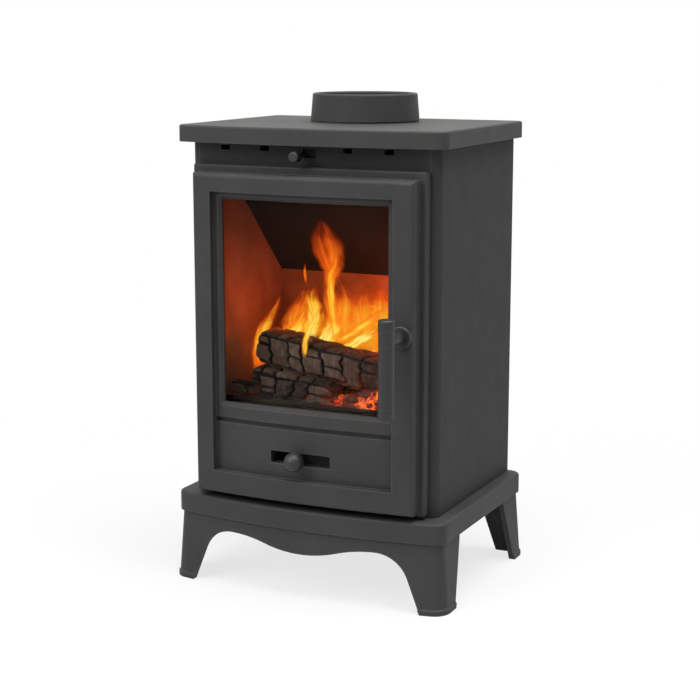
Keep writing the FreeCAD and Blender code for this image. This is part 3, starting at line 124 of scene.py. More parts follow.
char_tones = (
    (0.28, (0.022, 0.015, 0.011, 1)),
    (0.48, (0.122, 0.080, 0.058, 1)),
    (0.66, (0.265, 0.184, 0.143, 1)),
    (0.90, (0.425, 0.335, 0.28, 1)),
)
char_crack_tone = (0.004, 0.003, 0.003, 1)
char_glow_tones = (
    (0.0, (0, 0, 0, 1)),
    (0.3, (0.30, 0.012, 0.0, 1)),
    (0.65, (1.0, 0.12, 0.008, 1)),
    (1.0, (1.0, 0.42, 0.06, 1)),
)
coal_tones = ((0.3, (0.008, 0.007, 0.006, 1)), (0.7, (0.10, 0.088, 0.08, 1)))
coal_glow_tones = (
    (0.0, (0, 0, 0, 1)),
    (0.18, (0.16, 0.006, 0.0, 1)),
    (0.42, (0.90, 0.10, 0.004, 1)),
    (0.72, (1.0, 0.40, 0.05, 1)),
)

# Paints by slot: tones, casting, mottling, gloss, share of worn edge with painted highlight, and softened
# edge
paints = {
    "stove_paint_cast": (paint_tones, 0.9, 0.4, 0.0, 0.65, cast_soft_edge),
    "stove_paint_sheet": (paint_tones, 0.3, 0.08, -0.09, 0.65, sheet_soft_edge),
    "stove_paint_fittings": (satin_tones, 0.15, 0.3, 0.17, 0.2, fitting_soft_edge),
}

# Firebox, taken from the frame
grate_low, grate_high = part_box("grate")
hearth_z = grate_high.z
fire_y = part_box("upper_log")[1].y
fire_margin = 0.002
fire_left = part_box("left_fire_board")[1].x + fire_margin
fire_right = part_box("right_fire_board")[0].x - fire_margin
fire_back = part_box("rear_fire_board")[0].y - fire_margin

# Fire lamps: x, plane, depth behind that plane, height over the grate, power and radius
fire_lamps = (
    (0.035, fire_y, 0.020, 0.115, 0.46, 0.03),
    (0.090, fire_y, 0.028, 0.100, 0.62, 0.03),
    (-0.080, fire_y, 0.004, 0.115, 0.14, 0.02),
    (0.060, grate_low.y, 0.012, 0.052, 0.012, 0.01),
)
fire_lamp_tone = (1.0, 0.115, 0.012)

# Logs: node, half-height, tilt and seed
logs = (
    ("upper_log", 0.025, 9.3, 3),
    ("lower_log", 0.020, 6.0, 8),
    ("rear_log", 0.0275, 0.0, 15),
    ("small_log", 0.0118, 0.0, 21),
)
log_steps_along = 210
log_steps_around = 144
log_margin = 0.0010
block_length = 0.026
block_girth = 0.045
block_stand = 0.0022
crack_width = 0.0021
crack_depth = 0.0065
crack_sway = 0.0040
split_block_share = 0.5
split_strength_share = 0.8
log_squareness = 4.4
log_swell_share = 0.05
log_end_dome = 0.0025
log_end_round = 0.004
log_roughness = 0.0013
log_ash_share = 0.22
log_end_pinch_share = 0.14
log_noise_along = 22
log_noise_around = 1.4
sway_noise = 2.3
drift_offset = Vector((9.3, 1.5, 7.9))
rough_noise = 7.0
rough_fractal = (0.9, 2.1, 4)
rough_level = 0.4
log_faces = 4
log_seed_steps = (3.1, 1.7, 0.9)
log_glow_along = 0.6
log_glow_start = 0.25
log_glow_top = 0.15
log_glow_back = 0.2
first_line_shares = (0.3, 0.9)
line_step_shares = (0.7, 1.35)
band_jitter_share = 0.08
crack_slant = 0.35
block_tone_shares = (-0.15, 0.10)
split_place_shares = (0.3, 0.7)
cap_ring_shares = (0.66, 0.33)
cap_noise = 140.0
cap_crack = 0.1

# Coals, heaped as their solid is
bed_low, bed_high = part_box("ember_bed")
bed_x_shares = (-1.0, -0.8, 0.1, 0.42, 0.75, 1.0)
bed_height_shares = (0.16, 0.55, 0.55, 1.0, 0.55, 0.16)
bed_edge_share = 0.16
bed_crest_set_back = 0.024
bed_rows = 70
bed_columns = 110
bed_lump = 0.004
coal_count = 230
coal_size = (0.0045, 0.0105)
coal_margin = 0.010
coal_sink_share = 0.35
coal_lump_share = 0.35
coal_front_bias = 1.7
coal_stretch_shares = ((0.8, 1.4), (0.7, 1.2), (0.6, 0.85))
coal_heat_shares = (0.1, 1.0)
coal_seed = 5
coal_noise = 1.4
coal_steps = (3.7, 1.3, 0.0)
bed_noise = 90.0
bed_fractal = (0.8, 2.0, 4)
bed_lump_level = 1.0
bed_glow_share = 0.75
hot_x = 0.065
hot_reach = 0.075
hot_depth = 0.060

# Flame tongues: name, seed, depth behind the fire plane, x and z of points up the middle line, half-width,
# share of the height where it is widest, and warmth at foot, middle and tip
tongues = (
    ("flame_stalk", 1, 0.008, ((-0.030, 0.310), (-0.038, 0.360), (-0.040, 0.395), (-0.033, 0.430)),
     0.013, 0.05, (0.72, 0.52, 0.42)),
    ("flame_head", 2, 0.008, ((-0.040, 0.385), (-0.034, 0.415), (-0.035, 0.440), (-0.045, 0.465),
                              (-0.055, 0.490)), 0.018, 0.55, (0.58, 0.44, 0.22)),
    ("flame_streak", 3, 0.002, ((-0.030, 0.330), (-0.036, 0.395), (-0.028, 0.425), (-0.035, 0.465)),
     0.007, 0.20, (0.82, 0.66, 0.42)),
    ("flame_lobe", 4, 0.004, ((-0.034, 0.405), (-0.045, 0.430), (-0.052, 0.455), (-0.052, 0.485)),
     0.021, 0.45, (0.46, 0.37, 0.24)),
    ("flame_left_tip", 5, -0.028, ((-0.128, 0.260), (-0.133, 0.290), (-0.125, 0.325), (-0.110, 0.350),
                                   (-0.096, 0.380)), 0.013, 0.50, (0.35, 0.78, 0.58)),
    ("flame_left_foot", 6, -0.030, ((-0.120, 0.270), (-0.126, 0.295), (-0.110, 0.335)),
     0.014, 0.40, (0.32, 0.45, 0.55)),
    ("flame_left_soft", 7, 0.022, ((-0.106, 0.312), (-0.098, 0.345), (-0.080, 0.390)),
     0.021, 0.25, (0.74, 0.60, 0.38)),
    ("flame_wisp", 8, 0.010, ((-0.077, 0.390), (-0.079, 0.405), (-0.078, 0.420)),
     0.003, 0.40, (0.42, 0.56, 0.40)),
    ("flame_middle", 9, 0.004, ((-0.068, 0.310), (-0.062, 0.345), (-0.065, 0.375), (-0.058, 0.395)),
     0.015, 0.30, (1.00, 0.84, 0.50)),
    ("flame_middle_low", 10, 0.002, ((-0.098, 0.310), (-0.085, 0.330), (-0.070, 0.360)),
     0.016, 0.40, (0.88, 0.86, 0.62)),
    ("flame_front_lick", 11, -0.064, ((-0.043, 0.300), (-0.040, 0.325), (-0.028, 0.355), (-0.017, 0.378)),
     0.005, 0.50, (0.74, 0.95, 0.80)),
    ("flame_heart", 12, 0.004, ((-0.053, 0.298), (-0.040, 0.318), (-0.034, 0.338), (-0.036, 0.362)),
     0.021, 0.35, (0.92, 1.00, 0.76)),
    ("flame_sweep", 13, 0.010, ((-0.033, 0.290), (0.005, 0.316), (0.046, 0.350)),
     0.018, 0.50, (0.88, 1.06, 0.80)),
    ("flame_sweep_low", 14, 0.006, ((-0.014, 0.287), (0.017, 0.299), (0.050, 0.315)),
     0.012, 0.60, (0.74, 0.90, 0.80)),
    ("flame_sweep_high", 15, 0.016, ((-0.034, 0.307), (0.011, 0.337), (0.045, 0.366)),
     0.015, 0.50, (0.72, 0.80, 0.64)),
    ("flame_right_low", 16, 0.030, ((-0.025, 0.315), (-0.028, 0.350), (-0.026, 0.375), (-0.038, 0.400)),
     0.022, 0.10, (0.72, 0.60, 0.30)),
    ("flame_right_high", 17, 0.036, ((0.003, 0.320), (-0.005, 0.360), (0.003, 0.395)),
     0.026, 0.20, (0.76, 0.60, 0.36)),
    ("flame_far_right", 18, 0.038, ((0.026, 0.325), (0.023, 0.360), (0.026, 0.400)),
     0.023, 0.20, (0.80, 0.64, 0.36)),
)
tongue_foot_share = 0.7
tongue_tip_share = 0.06
tongue_close_power = 0.8
tongue_noise_up = 5
tongue_noise_across = 2
tongue_rows = 56
tongue_columns = 15
tongue_cup_share = 0.25
tongue_ripple_share = 0.25
tongue_turns = (25.0, 115.0)
tongue_sway = 12.0
tongue_ragged = 1.25
tongue_opacity = 0.95
seed_step = 4.1
flow_step = 0.37

# Flame banks: name, depth behind the fire plane, x and foot of the left and the right end, heights, lean,
# warmth and seed
banks = (
    ("flame_bank_near", 0.016, (-0.108, 0.318), (0.130, 0.282),
     (0.036, 0.064, 0.052, 0.072, 0.052, 0.066, 0.046, 0.044, 0.050, 0.062, 0.074), 0.065, 0.60, 31),
    ("flame_bank_far", 0.046, (-0.070, 0.285), (0.146, 0.275),
     (0.040, 0.070, 0.062, 0.096, 0.062, 0.124, 0.076, 0.132, 0.088, 0.120), 0.050, 0.57, 37),
)
bank_rows = 34
bank_columns = 80
bank_wave = 0.008
bank_ragged = 1.6
bank_opacity = 0.75
bank_noise_across = 40
bank_noise_up = 14
bank_end_fade = 4


class Shader:
    """A material with one surface shader, and short ways to add the nodes that feed it."""

    def __init__(self, name):
        self.material = bpy.data.materials.new(name)
        self.material.use_nodes = True
        self.tree = self.material.node_tree
        self.surface = self.tree.nodes["Principled BSDF"]

    def add(self, kind, **settings):
        node = self.tree.nodes.new(kind)
        for key, value in settings.items():
            setattr(node, key, value)
        return node

    def feed(self, socket, value):
        if isinstance(value, bpy.types.NodeSocket):
            self.tree.links.new(value, socket)
        else:
            socket.default_value = value

    def set(self, **values):
        for key, value in values.items():
            self.feed(self.surface.inputs[key.replace("_", " ")], value)

    def place(self, scale=(1, 1, 1)):
        coordinates = self.add("ShaderNodeTexCoord")
        return self.stretch(coordinates.outputs["Object"], scale)

    def stretch(self, vector, scale, turn=(0, 0, 0)):
        mapping = self.add("ShaderNodeMapping")
        self.feed(mapping.inputs["Scale"], scale)
        self.feed(mapping.inputs["Rotation"], [math.radians(angle) for angle in turn])
        self.feed(mapping.inputs["Vector"], vector)
        return mapping.outputs["Vector"]

    def noise(self, place, scale, detail=3.0, rough=0.5, distortion=0.0):
        node = self.add("ShaderNodeTexNoise")
        self.feed(node.inputs["Vector"], place)
        self.feed(node.inputs["Scale"], scale)
        self.feed(node.inputs["Detail"], detail)
        self.feed(node.inputs["Roughness"], rough)
        self.feed(node.inputs["Distortion"], distortion)
        return node.outputs["Fac"]

    def cells(self, place, scale):
        node = self.add("ShaderNodeTexVoronoi")
        self.feed(node.inputs["Vector"], place)
        self.feed(node.inputs["Scale"], scale)
        return node.outputs["Distance"]

    def ramp(self, value, stops):
        node = self.add("ShaderNodeValToRGB")
        ends = node.color_ramp.elements
        while len(ends) < len(stops):
            ends.new(0.5)
        for end, (position, tone) in zip(ends, stops):
            end.position = position
            end.color = tone
        self.feed(node.inputs["Fac"], value)
        return node.outputs["Color"]

    def span(self, value, low, high, to_low=0.0, to_high=1.0, smooth=False):
        node = self.add("ShaderNodeMapRange", interpolation_type="SMOOTHSTEP" if smooth else "LINEAR")
        self.feed(node.inputs["Value"], value)
        self.feed(node.inputs["From Min"], low)
        self.feed(node.inputs["From Max"], high)
        self.feed(node.inputs["To Min"], to_low)
        self.feed(node.inputs["To Max"], to_high)
        return node.outputs["Result"]

    def sum(self, operation, first, second=0.0, third=0.0):
        node = self.add("ShaderNodeMath", operation=operation)
        self.feed(node.inputs[0], first)
        self.feed(node.inputs[1], second)
        self.feed(node.inputs[2], third)
        return node.outputs["Value"]

    def blend(self, share, first, second):
        node = self.add("ShaderNodeMix", data_type="RGBA")
        self.feed(node.inputs[0], share)
        self.feed(node.inputs[6], first)
        self.feed(node.inputs[7], second)
        return node.outputs[2]

    def soft_normal(self, radius):
        bevel = self.add("ShaderNodeBevel", samples=6)
        self.feed(bevel.inputs["Radius"], radius)
        return bevel.outputs["Normal"]

    def normal(self):
        return self.add("ShaderNodeNewGeometry").outputs["Normal"]

    def edge(self, radius, low, high):
        # Share of worn edge, which also paints an edge highlight: how far the softened normal leans from
        # the true one.
        lean = self.add("ShaderNodeVectorMath", operation="DOT_PRODUCT")
        self.feed(lean.inputs[0], self.soft_normal(radius))
        self.feed(lean.inputs[1], self.normal())
        return self.span(lean.outputs["Value"], high, low)

    def bump(self, height, strength, distance, radius=None):
        node = self.add("ShaderNodeBump")
        self.feed(node.inputs["Height"], height)
        self.feed(node.inputs["Strength"], strength)
        self.feed(node.inputs["Distance"], distance)
        if radius:
            self.feed(node.inputs["Normal"], self.soft_normal(radius))
        self.set(Normal=node.outputs["Normal"])

    def attribute(self, name, output="Fac"):
        return self.add("ShaderNodeAttribute", attribute_name=name).outputs[output]


def paint_material(name, tones, casting, mottling, gloss, wear_and_highlight, soft_edge):
    # High-temperature stove paint: fine sandy grain, faint mottling, upper faces made lighter by dusting
    # and painted top light, and paler edges that are worn and carry a painted highlight.
    s = Shader(name)
    place = s.place()
    mottle = s.noise(place, 9.0, 6.0, 0.6)
    tone = s.blend(s.span(mottle, 0.34, 0.68, 0.5 - mottling, 0.5 + mottling), *tones)
    speck = s.noise(place, 700.0, 2.0)
    tone = s.blend(s.span(speck, 0.56, 0.74, 0.0, 0.35), tone, dust_and_top_light_tone)
    facing = s.add("ShaderNodeSeparateXYZ")
    s.feed(facing.inputs["Vector"], s.normal())
    # Upward faces lighter: dusting and painted light from above
    dust_and_top_light = s.sum("MULTIPLY", s.span(facing.outputs["Z"], 0.5, 1.0, 0.0, 0.55), s.span(mottle, 0.3, 0.8))
    tone = s.blend(dust_and_top_light, tone, dust_and_top_light_tone)
    patchy_wear_highlight = s.span(s.noise(place, 60.0, 4.0), 0.3, 0.7, 0.35 * wear_and_highlight, wear_and_highlight)
    # Paler edges: worn paint and a painted edge highlight
    tone = s.blend(s.sum("MULTIPLY", s.edge(worn_highlight_radius, 0.82, 0.995), patchy_wear_highlight), tone, worn_edge_highlight_tone)
    grain = s.noise(place, 520.0, 3.0, 0.6)
    cast = s.noise(place, 120.0, 4.0, 0.55)
    rough = s.span(s.noise(place, 35.0, 5.0), 0.3, 0.7, 0.56 - gloss, 0.63 - gloss)
    s.set(Base_Color=tone, Roughness=rough, Specular_IOR_Level=0.24 + gloss)
    s.bump(s.sum("MULTIPLY_ADD", cast, casting, grain), 0.22, paint_relief, soft_edge)
    return s.material


def brick_material():
    # Pressed mineral board: pale flakes in a warm ground, ashy low down, sooty higher up and in patches.
    s = Shader("fire_brick_board")
    place = s.place()
    ground = s.ramp(s.noise(place, 24.0, 6.0, 0.6), list(zip((0.3, 0.7), brick_tones)))
    flakes = s.cells(place, 260.0)
    tone = s.blend(s.span(flakes, 0.0, 0.35, 0.4, 0.0), ground, brick_flake_tone)
    height = s.add("ShaderNodeSeparateXYZ")
    s.feed(height.inputs["Vector"], place)
    smoke = s.span(height.outputs["Z"], soot_low_z, soot_high_z, 0.0, 0.75, smooth=True)
    patches = s.span(s.noise(place, 7.0, 5.0, 0.65), 0.45, 0.8, 0.0, 0.6)
    tone = s.blend(s.sum("MAXIMUM", smoke, patches), tone, brick_soot_tone)
    ash = s.span(height.outputs["Z"], ash_low_z, ash_high_z, 0.6, 0.0, smooth=True)
    tone = s.blend(ash, tone, brick_ash_tone)
    s.set(Base_Color=tone, Roughness=s.span(flakes, 0.0, 0.5, 0.8, 0.95))
    s.bump(s.sum("ADD", flakes, s.noise(place, 90.0, 5.0)), 0.5, brick_relief)
    return s.material


def iron_material(name, tones):
    # Bare iron that has been hot: scale, brown bloom and a little ash or soot.
    s = Shader(name)
    place = s.place()
    scale = s.noise(place, 38.0, 7.0, 0.62)
    tone = s.ramp(scale, list(zip((0.25, 0.55, 0.8), tones)))
    s.set(Base_Color=tone, Roughness=s.span(scale, 0.2, 0.8, 0.65, 0.9))
    s.set(Specular_IOR_Level=0.25)
    s.bump(s.sum("ADD", s.noise(place, 420.0, 4.0), scale), 0.35, iron_relief, iron_soft_edge)
    return s.material


def fastener_material():
    # Blackened steel with fine turned marks.
    s = Shader("blackened_steel")
    marks = s.noise(s.place((900.0, 900.0, 90.0)), 1.0, 3.0)
    tone = s.ramp(s.noise(s.place(), 150.0, 4.0), list(zip((0.3, 0.7), steel_tones)))
    s.set(Base_Color=tone, Metallic=0.85, Roughness=s.span(marks, 0.3, 0.7, 0.3, 0.5))
    s.bump(marks, 0.15, steel_relief, steel_soft_edge)
    return s.material


def fibre_material():
    # Braided glass-fibre rope, seen as crossing diagonal strands.
    s = Shader("braided_fibre")
    strands = []
    for turn in (45.0, -45.0):
        wave = s.add("ShaderNodeTexWave")
        s.feed(wave.inputs["Vector"], s.stretch(s.place(), (1, 1, 1), (turn, turn, turn)))
        s.feed(wave.inputs["Scale"], 130.0)
        s.feed(wave.inputs["Distortion"], 0.6)
        strands.append(wave.outputs["Fac"])
    weave = s.sum("MAXIMUM", *strands)
    tone = s.ramp(weave, fibre_tones)
    s.set(Base_Color=tone, Roughness=s.span(weave, 0.0, 1.0, 0.98, 0.85))
    s.bump(weave, 0.8, rope_relief)
    return s.material


def glass_material():
    # Stove glass with a faint warm tint and a breath of haze.
    s = Shader("stove_glass")
    haze = s.span(s.noise(s.place(), 30.0, 5.0), 0.4, 0.8, 0.0, 0.012)
    tint = s.ramp(s.noise(s.place(), 6.0, 3.0), list(zip((0.3, 0.7), glass_tones)))
    s.set(Base_Color=tint, Roughness=haze, Transmission_Weight=1.0, IOR=glass_ior, Specular_IOR_Level=0.1)
    return s.material


def char_material():
    # Burnt wood: ashy block faces hatched across the grain, black cracks and a glow in some of them.
    s = Shader("charred_wood")
    place = s.place()
    crack = s.attribute("crack")
    ash = s.noise(place, 110.0, 7.0, 0.68)
    hatch = s.noise(s.place((620.0, 60.0, 60.0)), 1.0, 3.0)
    level = s.sum("MULTIPLY_ADD", hatch, 0.35, s.sum("MULTIPLY_ADD", ash, 0.5, s.attribute("tone")))
    tone = s.blend(s.span(crack, 0.12, 0.6), s.ramp(level, char_tones), char_crack_tone)
    s.set(Base_Color=tone, Roughness=s.span(ash, 0.3, 0.7, 0.75, 0.95))
    heat = s.sum("MULTIPLY", s.attribute("glow"), s.span(s.noise(place, 60.0, 4.0), 0.38, 0.68))
    s.set(Emission_Color=s.ramp(heat, char_glow_tones), Emission_Strength=char_strength)
    s.bump(s.sum("ADD", hatch, ash), 0.6, char_relief)
    return s.material


def coal_material():
    # Coals: ash-grey skin over a red to orange heart.
    s = Shader("glowing_coals")
    skin = s.noise(s.place(), 150.0, 6.0, 0.65)
    tone = s.ramp(skin, coal_tones)
    heat = s.sum("MULTIPLY", s.attribute("glow"), s.span(skin, 0.64, 0.36))
    s.set(Base_Color=tone, Roughness=s.span(skin, 0.3, 0.7, 0.8, 0.95))
    s.set(Emission_Color=s.ramp(heat, coal_glow_tones), Emission_Strength=coal_strength)
    s.bump(skin, 0.7, coal_relief)
    return s.material


def flame_material(name, ragged, opacity):
    # Fire on a sheet: yellow near its foot and middle, red, ragged and thin at its edge and top.
    s = Shader(name)
    flow = s.attribute("flow", "Vector")
    lick = s.noise(s.stretch(flow, (85.0, 30.0, 1.0)), 1.0, 6.0, 0.6, 1.6)
    streak = s.noise(s.stretch(flow, (130.0, 24.0, 1.0)), 1.0, 4.0, 0.55, 1.0)
    edge = s.attribute("edge")
    rise = s.attribute("rise")
    off = s.sum("MULTIPLY_ADD", s.sum("SUBTRACT", lick, 0.5), ragged, edge)
    up = s.sum("MULTIPLY_ADD", s.sum("SUBTRACT", 0.5, lick), ragged, rise)
    body = s.span(off, 1.0, 0.1, smooth=True)
    crown = s.span(up, 1.0, 0.4, smooth=True)
    foot = s.span(rise, 0.0, 0.14, smooth=True)
    cover = s.span(body, 0.0, 0.6)
    veil = s.sum("MULTIPLY", s.sum("MULTIPLY", cover, crown), foot)
    heat = s.sum("MULTIPLY_ADD", body, 0.5, s.sum("MULTIPLY", crown, 0.5))
    heat = s.sum("MULTIPLY_ADD", s.sum("SUBTRACT", streak, 0.5), 0.8, heat)
    warmth = s.attribute("warmth")
    heat = s.sum("MULTIPLY", heat, warmth)
    s.set(Base_Color=(0, 0, 0, 1), Roughness=1.0, Specular_IOR_Level=0.0)
    s.set(Emission_Color=s.ramp(heat, flame_tones), Emission_Strength=flame_strength)
    s.set(Alpha=s.sum("MULTIPLY", veil, s.span(warmth, 0.25, 0.75, 0.3 * opacity, opacity)))
    return s.material


def add_mesh(name, points, faces, material, smooth=True):
    mesh = bpy.data.meshes.new(name)
    mesh.from_pydata(points, [], faces)
    mesh.materials.append(material)
    for polygon in mesh.polygons:
        polygon.use_smooth = smooth
    piece = bpy.data.objects.new(name, mesh)
    bpy.context.scene.collection.objects.link(piece)
    return piece


def write_attributes(piece, **lists):
    for name, values in lists.items():
        layer = piece.data.attributes.new(name, "FLOAT", "POINT")
        layer.data.foreach_set("value", values)


def grid_faces(rows, columns, closed, first=0):
    faces = []
    for row in range(rows - 1):
        for column in range(columns if closed else columns - 1):
            after = (column + 1) % columns
            low, high = first + row * columns, first + (row + 1) * columns
            faces.append((low + column, low + after, high + after, high + column))
    return faces


def jittered_lines(draw, low, high, spacing):
    lines = []
    at = low + spacing * draw.uniform(*first_line_shares)
    while at < high - spacing * first_line_shares[0]:
        lines.append(at)
        at += spacing * draw.uniform(*line_step_shares)
    return lines


class LogBlocks:
    """Where the cracks of a burnt log run: a band for each face, cracks across it and some split blocks."""

    def __init__(self, seed, length, girth):
        draw = random.Random(seed)
        self.girth = girth
        count = max(log_faces, round(girth / block_girth))
        jitters = [draw.uniform(-band_jitter_share, band_jitter_share) for _ in range(count)]
        self.bands = [girth * (i + 0.5 + jitter) / count for i, jitter in enumerate(jitters)]
        self.height = girth / count
        self.across = [jittered_lines(draw, 0.0, length, block_length) for _ in self.bands]
        self.slants = [draw.uniform(-crack_slant, crack_slant) for _ in self.bands]
        self.tones = self.drawn(draw, *block_tone_shares)
        self.stands = self.drawn(draw, -block_stand, 0.0)
        self.splits = self.drawn(draw, *split_place_shares)
        self.chances = self.drawn(draw, 0.0, 1.0)

    def drawn(self, draw, low, high):
        return [[draw.uniform(low, high) for _ in range(len(lines) + 1)] for lines in self.across]

    def at(self, distance, around):
        # Crack strength, tone and stand of the block at a place on the log.
        around = around % self.girth
        gaps = [(around - band) % self.girth for band in self.bands]
        band = gaps.index(min(gaps))
        nearest = min(min(gap, self.girth - gap) for gap in gaps)
        shifted = distance + self.slants[band] * gaps[band]
        lines = self.across[band]
        block = sum(1 for line in lines if line < shifted)
        crack = math.exp(-(nearest / crack_width) ** 2)
        for line in lines:
            crack = max(crack, math.exp(-((shifted - line) / crack_width) ** 2))
        if self.chances[band][block] < split_block_share:
            off = gaps[band] - self.splits[band][block] * self.height
            crack = max(crack, split_strength_share * math.exp(-(off / crack_width) ** 2))
        return crack, self.tones[band][block], self.stands[band][block]


def end_cap(points, faces, ring, along, outward, offset):
    # Close an end of a log with two shrinking rings and a middle point.
    centre = sum((points[i] for i in ring), Vector()) / len(ring)
    last = ring
    for share in cap_ring_shares:
        first = len(points)
        for i in ring:
            spoke = (points[i] - centre) * share
            dent = log_end_dome * noise.noise(spoke * cap_noise + offset)
            points.append(centre + spoke + along * (outward * log_end_dome + dent))
        new = list(range(first, len(points)))
        for a, b, c, d in zip(last, last[1:] + last[:1], new[1:] + new[:1], new):
            faces.append((a, b, c, d) if outward > 0 else (d, c, b, a))
        last = new
    points.append(centre + along * outward * log_end_dome)
    for a, b in zip(last, last[1:] + last[:1]):
        faces.append((a, b, len(points) - 1) if outward > 0 else (len(points) - 1, b, a))


def charred_log(node, half_height, tilt, seed, material):
    # Split log burnt into blocks, lying where its solid lies.
    low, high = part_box(node)
    half_height = half_height - log_margin / 2
    half_depth = (high.y - low.y) / 2 - log_margin
    along = Vector((math.cos(math.radians(tilt)), 0, -math.sin(math.radians(tilt))))
    up = Vector((-along.z, 0, along.x))
    length = (high.x - low.x - 2 * log_margin - 2 * half_height * up.x) / along.x
    start = Vector((low.x + log_margin, (low.y + high.y) / 2, high.z - log_margin / 2))
    start = start - up * half_height
    girth = 2 * math.pi * (half_depth + half_height) / 2
    blocks = LogBlocks(seed, length, girth)
    offset = Vector([seed * step for step in log_seed_steps])
    points, cracks, tones, glows = [], [], [], []
    for row in range(log_steps_along + 1):
        distance = length * row / log_steps_along
        to_end = min(distance, length - distance)
        pinch = 1.0 - log_end_pinch_share * math.exp(-(to_end / log_end_round) ** 2)
        for column in range(log_steps_around):
            angle = 2 * math.pi * column / log_steps_around
            c, n = math.cos(angle), math.sin(angle)
            square = (abs(c) ** log_squareness + abs(n) ** log_squareness) ** (-1 / log_squareness)
            spot = Vector((distance * log_noise_along, c * log_noise_around, n * log_noise_around)) + offset
            reach = square * (1.0 + log_swell_share * noise.noise(spot)) * pinch
            sway = crack_sway * noise.noise(spot * sway_noise)
            drift = crack_sway * noise.noise(spot * sway_noise + drift_offset)
            crack, tone, stand = blocks.at(distance + sway, girth * column / log_steps_around + drift)
            rough = log_roughness * (noise.fractal(spot * rough_noise, *rough_fractal) - rough_level)
            inward = crack_depth * crack - stand - rough
            side = Vector((0, c * (half_depth * reach - inward), 0))
            point = start + along * distance + side + up * (n * (half_height * reach - inward))
            point.z = max(point.z, hearth_z)
            points.append(point)
            cracks.append(crack)
            tones.append(tone + log_ash_share * max(0.0, 0.5 - row / log_steps_along))
            glow = log_glow_along * row / log_steps_along - log_glow_start
            glow = glow - log_glow_top * n + log_glow_back * c
            glows.append(crack * max(0.0, glow))
    faces = grid_faces(log_steps_along + 1, log_steps_around, True)
    last_ring = log_steps_along * log_steps_around
    end_cap(points, faces, list(range(log_steps_around)), along, -1, offset)
    end_cap(points, faces, list(range(last_ring, last_ring + log_steps_around)), along, 1, offset)
    extra = len(points) - len(cracks)
    piece = add_mesh("charred_" + node, points, faces, material)
    still = [0.0] * extra
    write_attributes(piece, crack=cracks + [cap_crack] * extra, tone=tones + still, glow=glows + still)
    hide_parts(node)
    return piece


def coal_shape():
    shape = bmesh.new()
    bmesh.ops.create_icosphere(shape, subdivisions=2, radius=1.0)
    points = [v.co.copy() for v in shape.verts]
    faces = [[v.index for v in f.verts] for f in shape.faces]
    shape.free()
    return points, faces


def bed_height(x, y):
    # Height of the heap over the grate: its crest along X, falling to a low edge in front and behind.
    share = 2 * (x - bed_low.x) / (bed_high.x - bed_low.x) - 1
    crest = bed_edge_share
    corners = list(zip(bed_x_shares, bed_height_shares))
    for (left, a), (right, b) in zip(corners, corners[1:]):
        if left <= share <= right:
            crest = a + (b - a) * (share - left) / (right - left)
    crest_y = bed_low.y + bed_crest_set_back
    away = (crest_y - y) / bed_crest_set_back if y < crest_y else (y - crest_y) / (bed_high.y - crest_y)
    return (bed_high.z - bed_low.z) * (crest + (bed_edge_share - crest) * away)


def hot_share(x, y):
    across = 1.0 - abs(x - hot_x) / hot_reach
    back = 1.0 - (y - bed_low.y) / hot_depth
    return max(0.0, min(across, back, 1.0)) ** 0.5


def bed_surface(points, faces, glows):
    # Lumpy ash and small coals under the larger ones.
    for row in range(bed_rows):
        y = bed_low.y + (bed_high.y - bed_low.y) * row / (bed_rows - 1)
        for column in range(bed_columns):
            x = bed_low.x + (bed_high.x - bed_low.x) * column / (bed_columns - 1)
            lump = bed_lump * (noise.fractal(Vector((x, y, 0)) * bed_noise, *bed_fractal) - bed_lump_level)
            points.append(Vector((x, y, hearth_z + max(0.0, bed_height(x, y) + lump))))
            glows.append(bed_glow_share * hot_share(x, y))
    faces.extend(grid_faces(bed_rows, bed_columns, False))


def coal_bed(material):
    # Coals strewn over the heap, which glow most at the front right.
    draw = random.Random(coal_seed)
    ball, ball_faces = coal_shape()
    points, faces, glows = [], [], []
    bed_surface(points, faces, glows)
    coal_reach = bed_high.y - bed_low.y - 2 * coal_margin
    for i in range(coal_count):
        size = draw.uniform(*coal_size)
        x = draw.uniform(bed_low.x + coal_margin, bed_high.x - coal_margin)
        y = bed_low.y + coal_margin + coal_reach * draw.random() ** coal_front_bias
        place = Vector((x, y, hearth_z + bed_height(x, y) - coal_sink_share * size))
        stretch = Vector([draw.uniform(*shares) for shares in coal_stretch_shares])
        warmth = hot_share(x, y) * draw.uniform(*coal_heat_shares)
        offset = Vector([i * step for step in coal_steps])
        first = len(points)
        for co in ball:
            lump = size * (1.0 + coal_lump_share * noise.noise(co * coal_noise + offset))
            point = place + Vector((co.x * stretch.x, co.y * stretch.y, co.z * stretch.z)) * lump
            point.z = max(point.z, hearth_z)
            points.append(point)
            glows.append(warmth)
        faces.extend([first + v for v in f] for f in ball_faces)
    piece = add_mesh("glowing_coals", points, faces, material)
    write_attributes(piece, glow=glows)
    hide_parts("ember_bed")
    return piece


def smooth_line(stops, share):
    # Value on a smooth line through evenly shared stops.
    spot = share * (len(stops) - 1)
    i = min(int(spot), len(stops) - 2)
    t = spot - i
    p1, p2 = stops[i], stops[i + 1]
    p0 = stops[i - 1] if i > 0 else p1 * 2 - p2
    p3 = stops[i + 2] if i + 2 < len(stops) else p2 * 2 - p1
    return 0.5 * (p1 * 2 + (p2 - p0) * t + (p0 * 2 - p1 * 5 + p2 * 4 - p3) * t ** 2
                  + (p1 * 3 - p0 - p2 * 3 + p3) * t ** 3)


def in_firebox(point):
    return Vector((min(max(point.x, fire_left), fire_right), min(point.y, fire_back), point.z))


def flame_sheet(name, grid, points, flows, edges, rises, heats, material):
    sheets, rows, columns = grid
    faces = []
    for sheet in range(sheets):
        faces.extend(grid_faces(rows, columns, False, sheet * rows * columns))
    piece = add_mesh(name, [in_firebox(point) for point in points], faces, material)
    write_attributes(piece, edge=edges, rise=rises, warmth=heats)
    layer = piece.data.attributes.new("flow", "FLOAT_VECTOR", "POINT")
    layer.data.foreach_set("vector", [value for flow in flows for value in flow])
    return piece


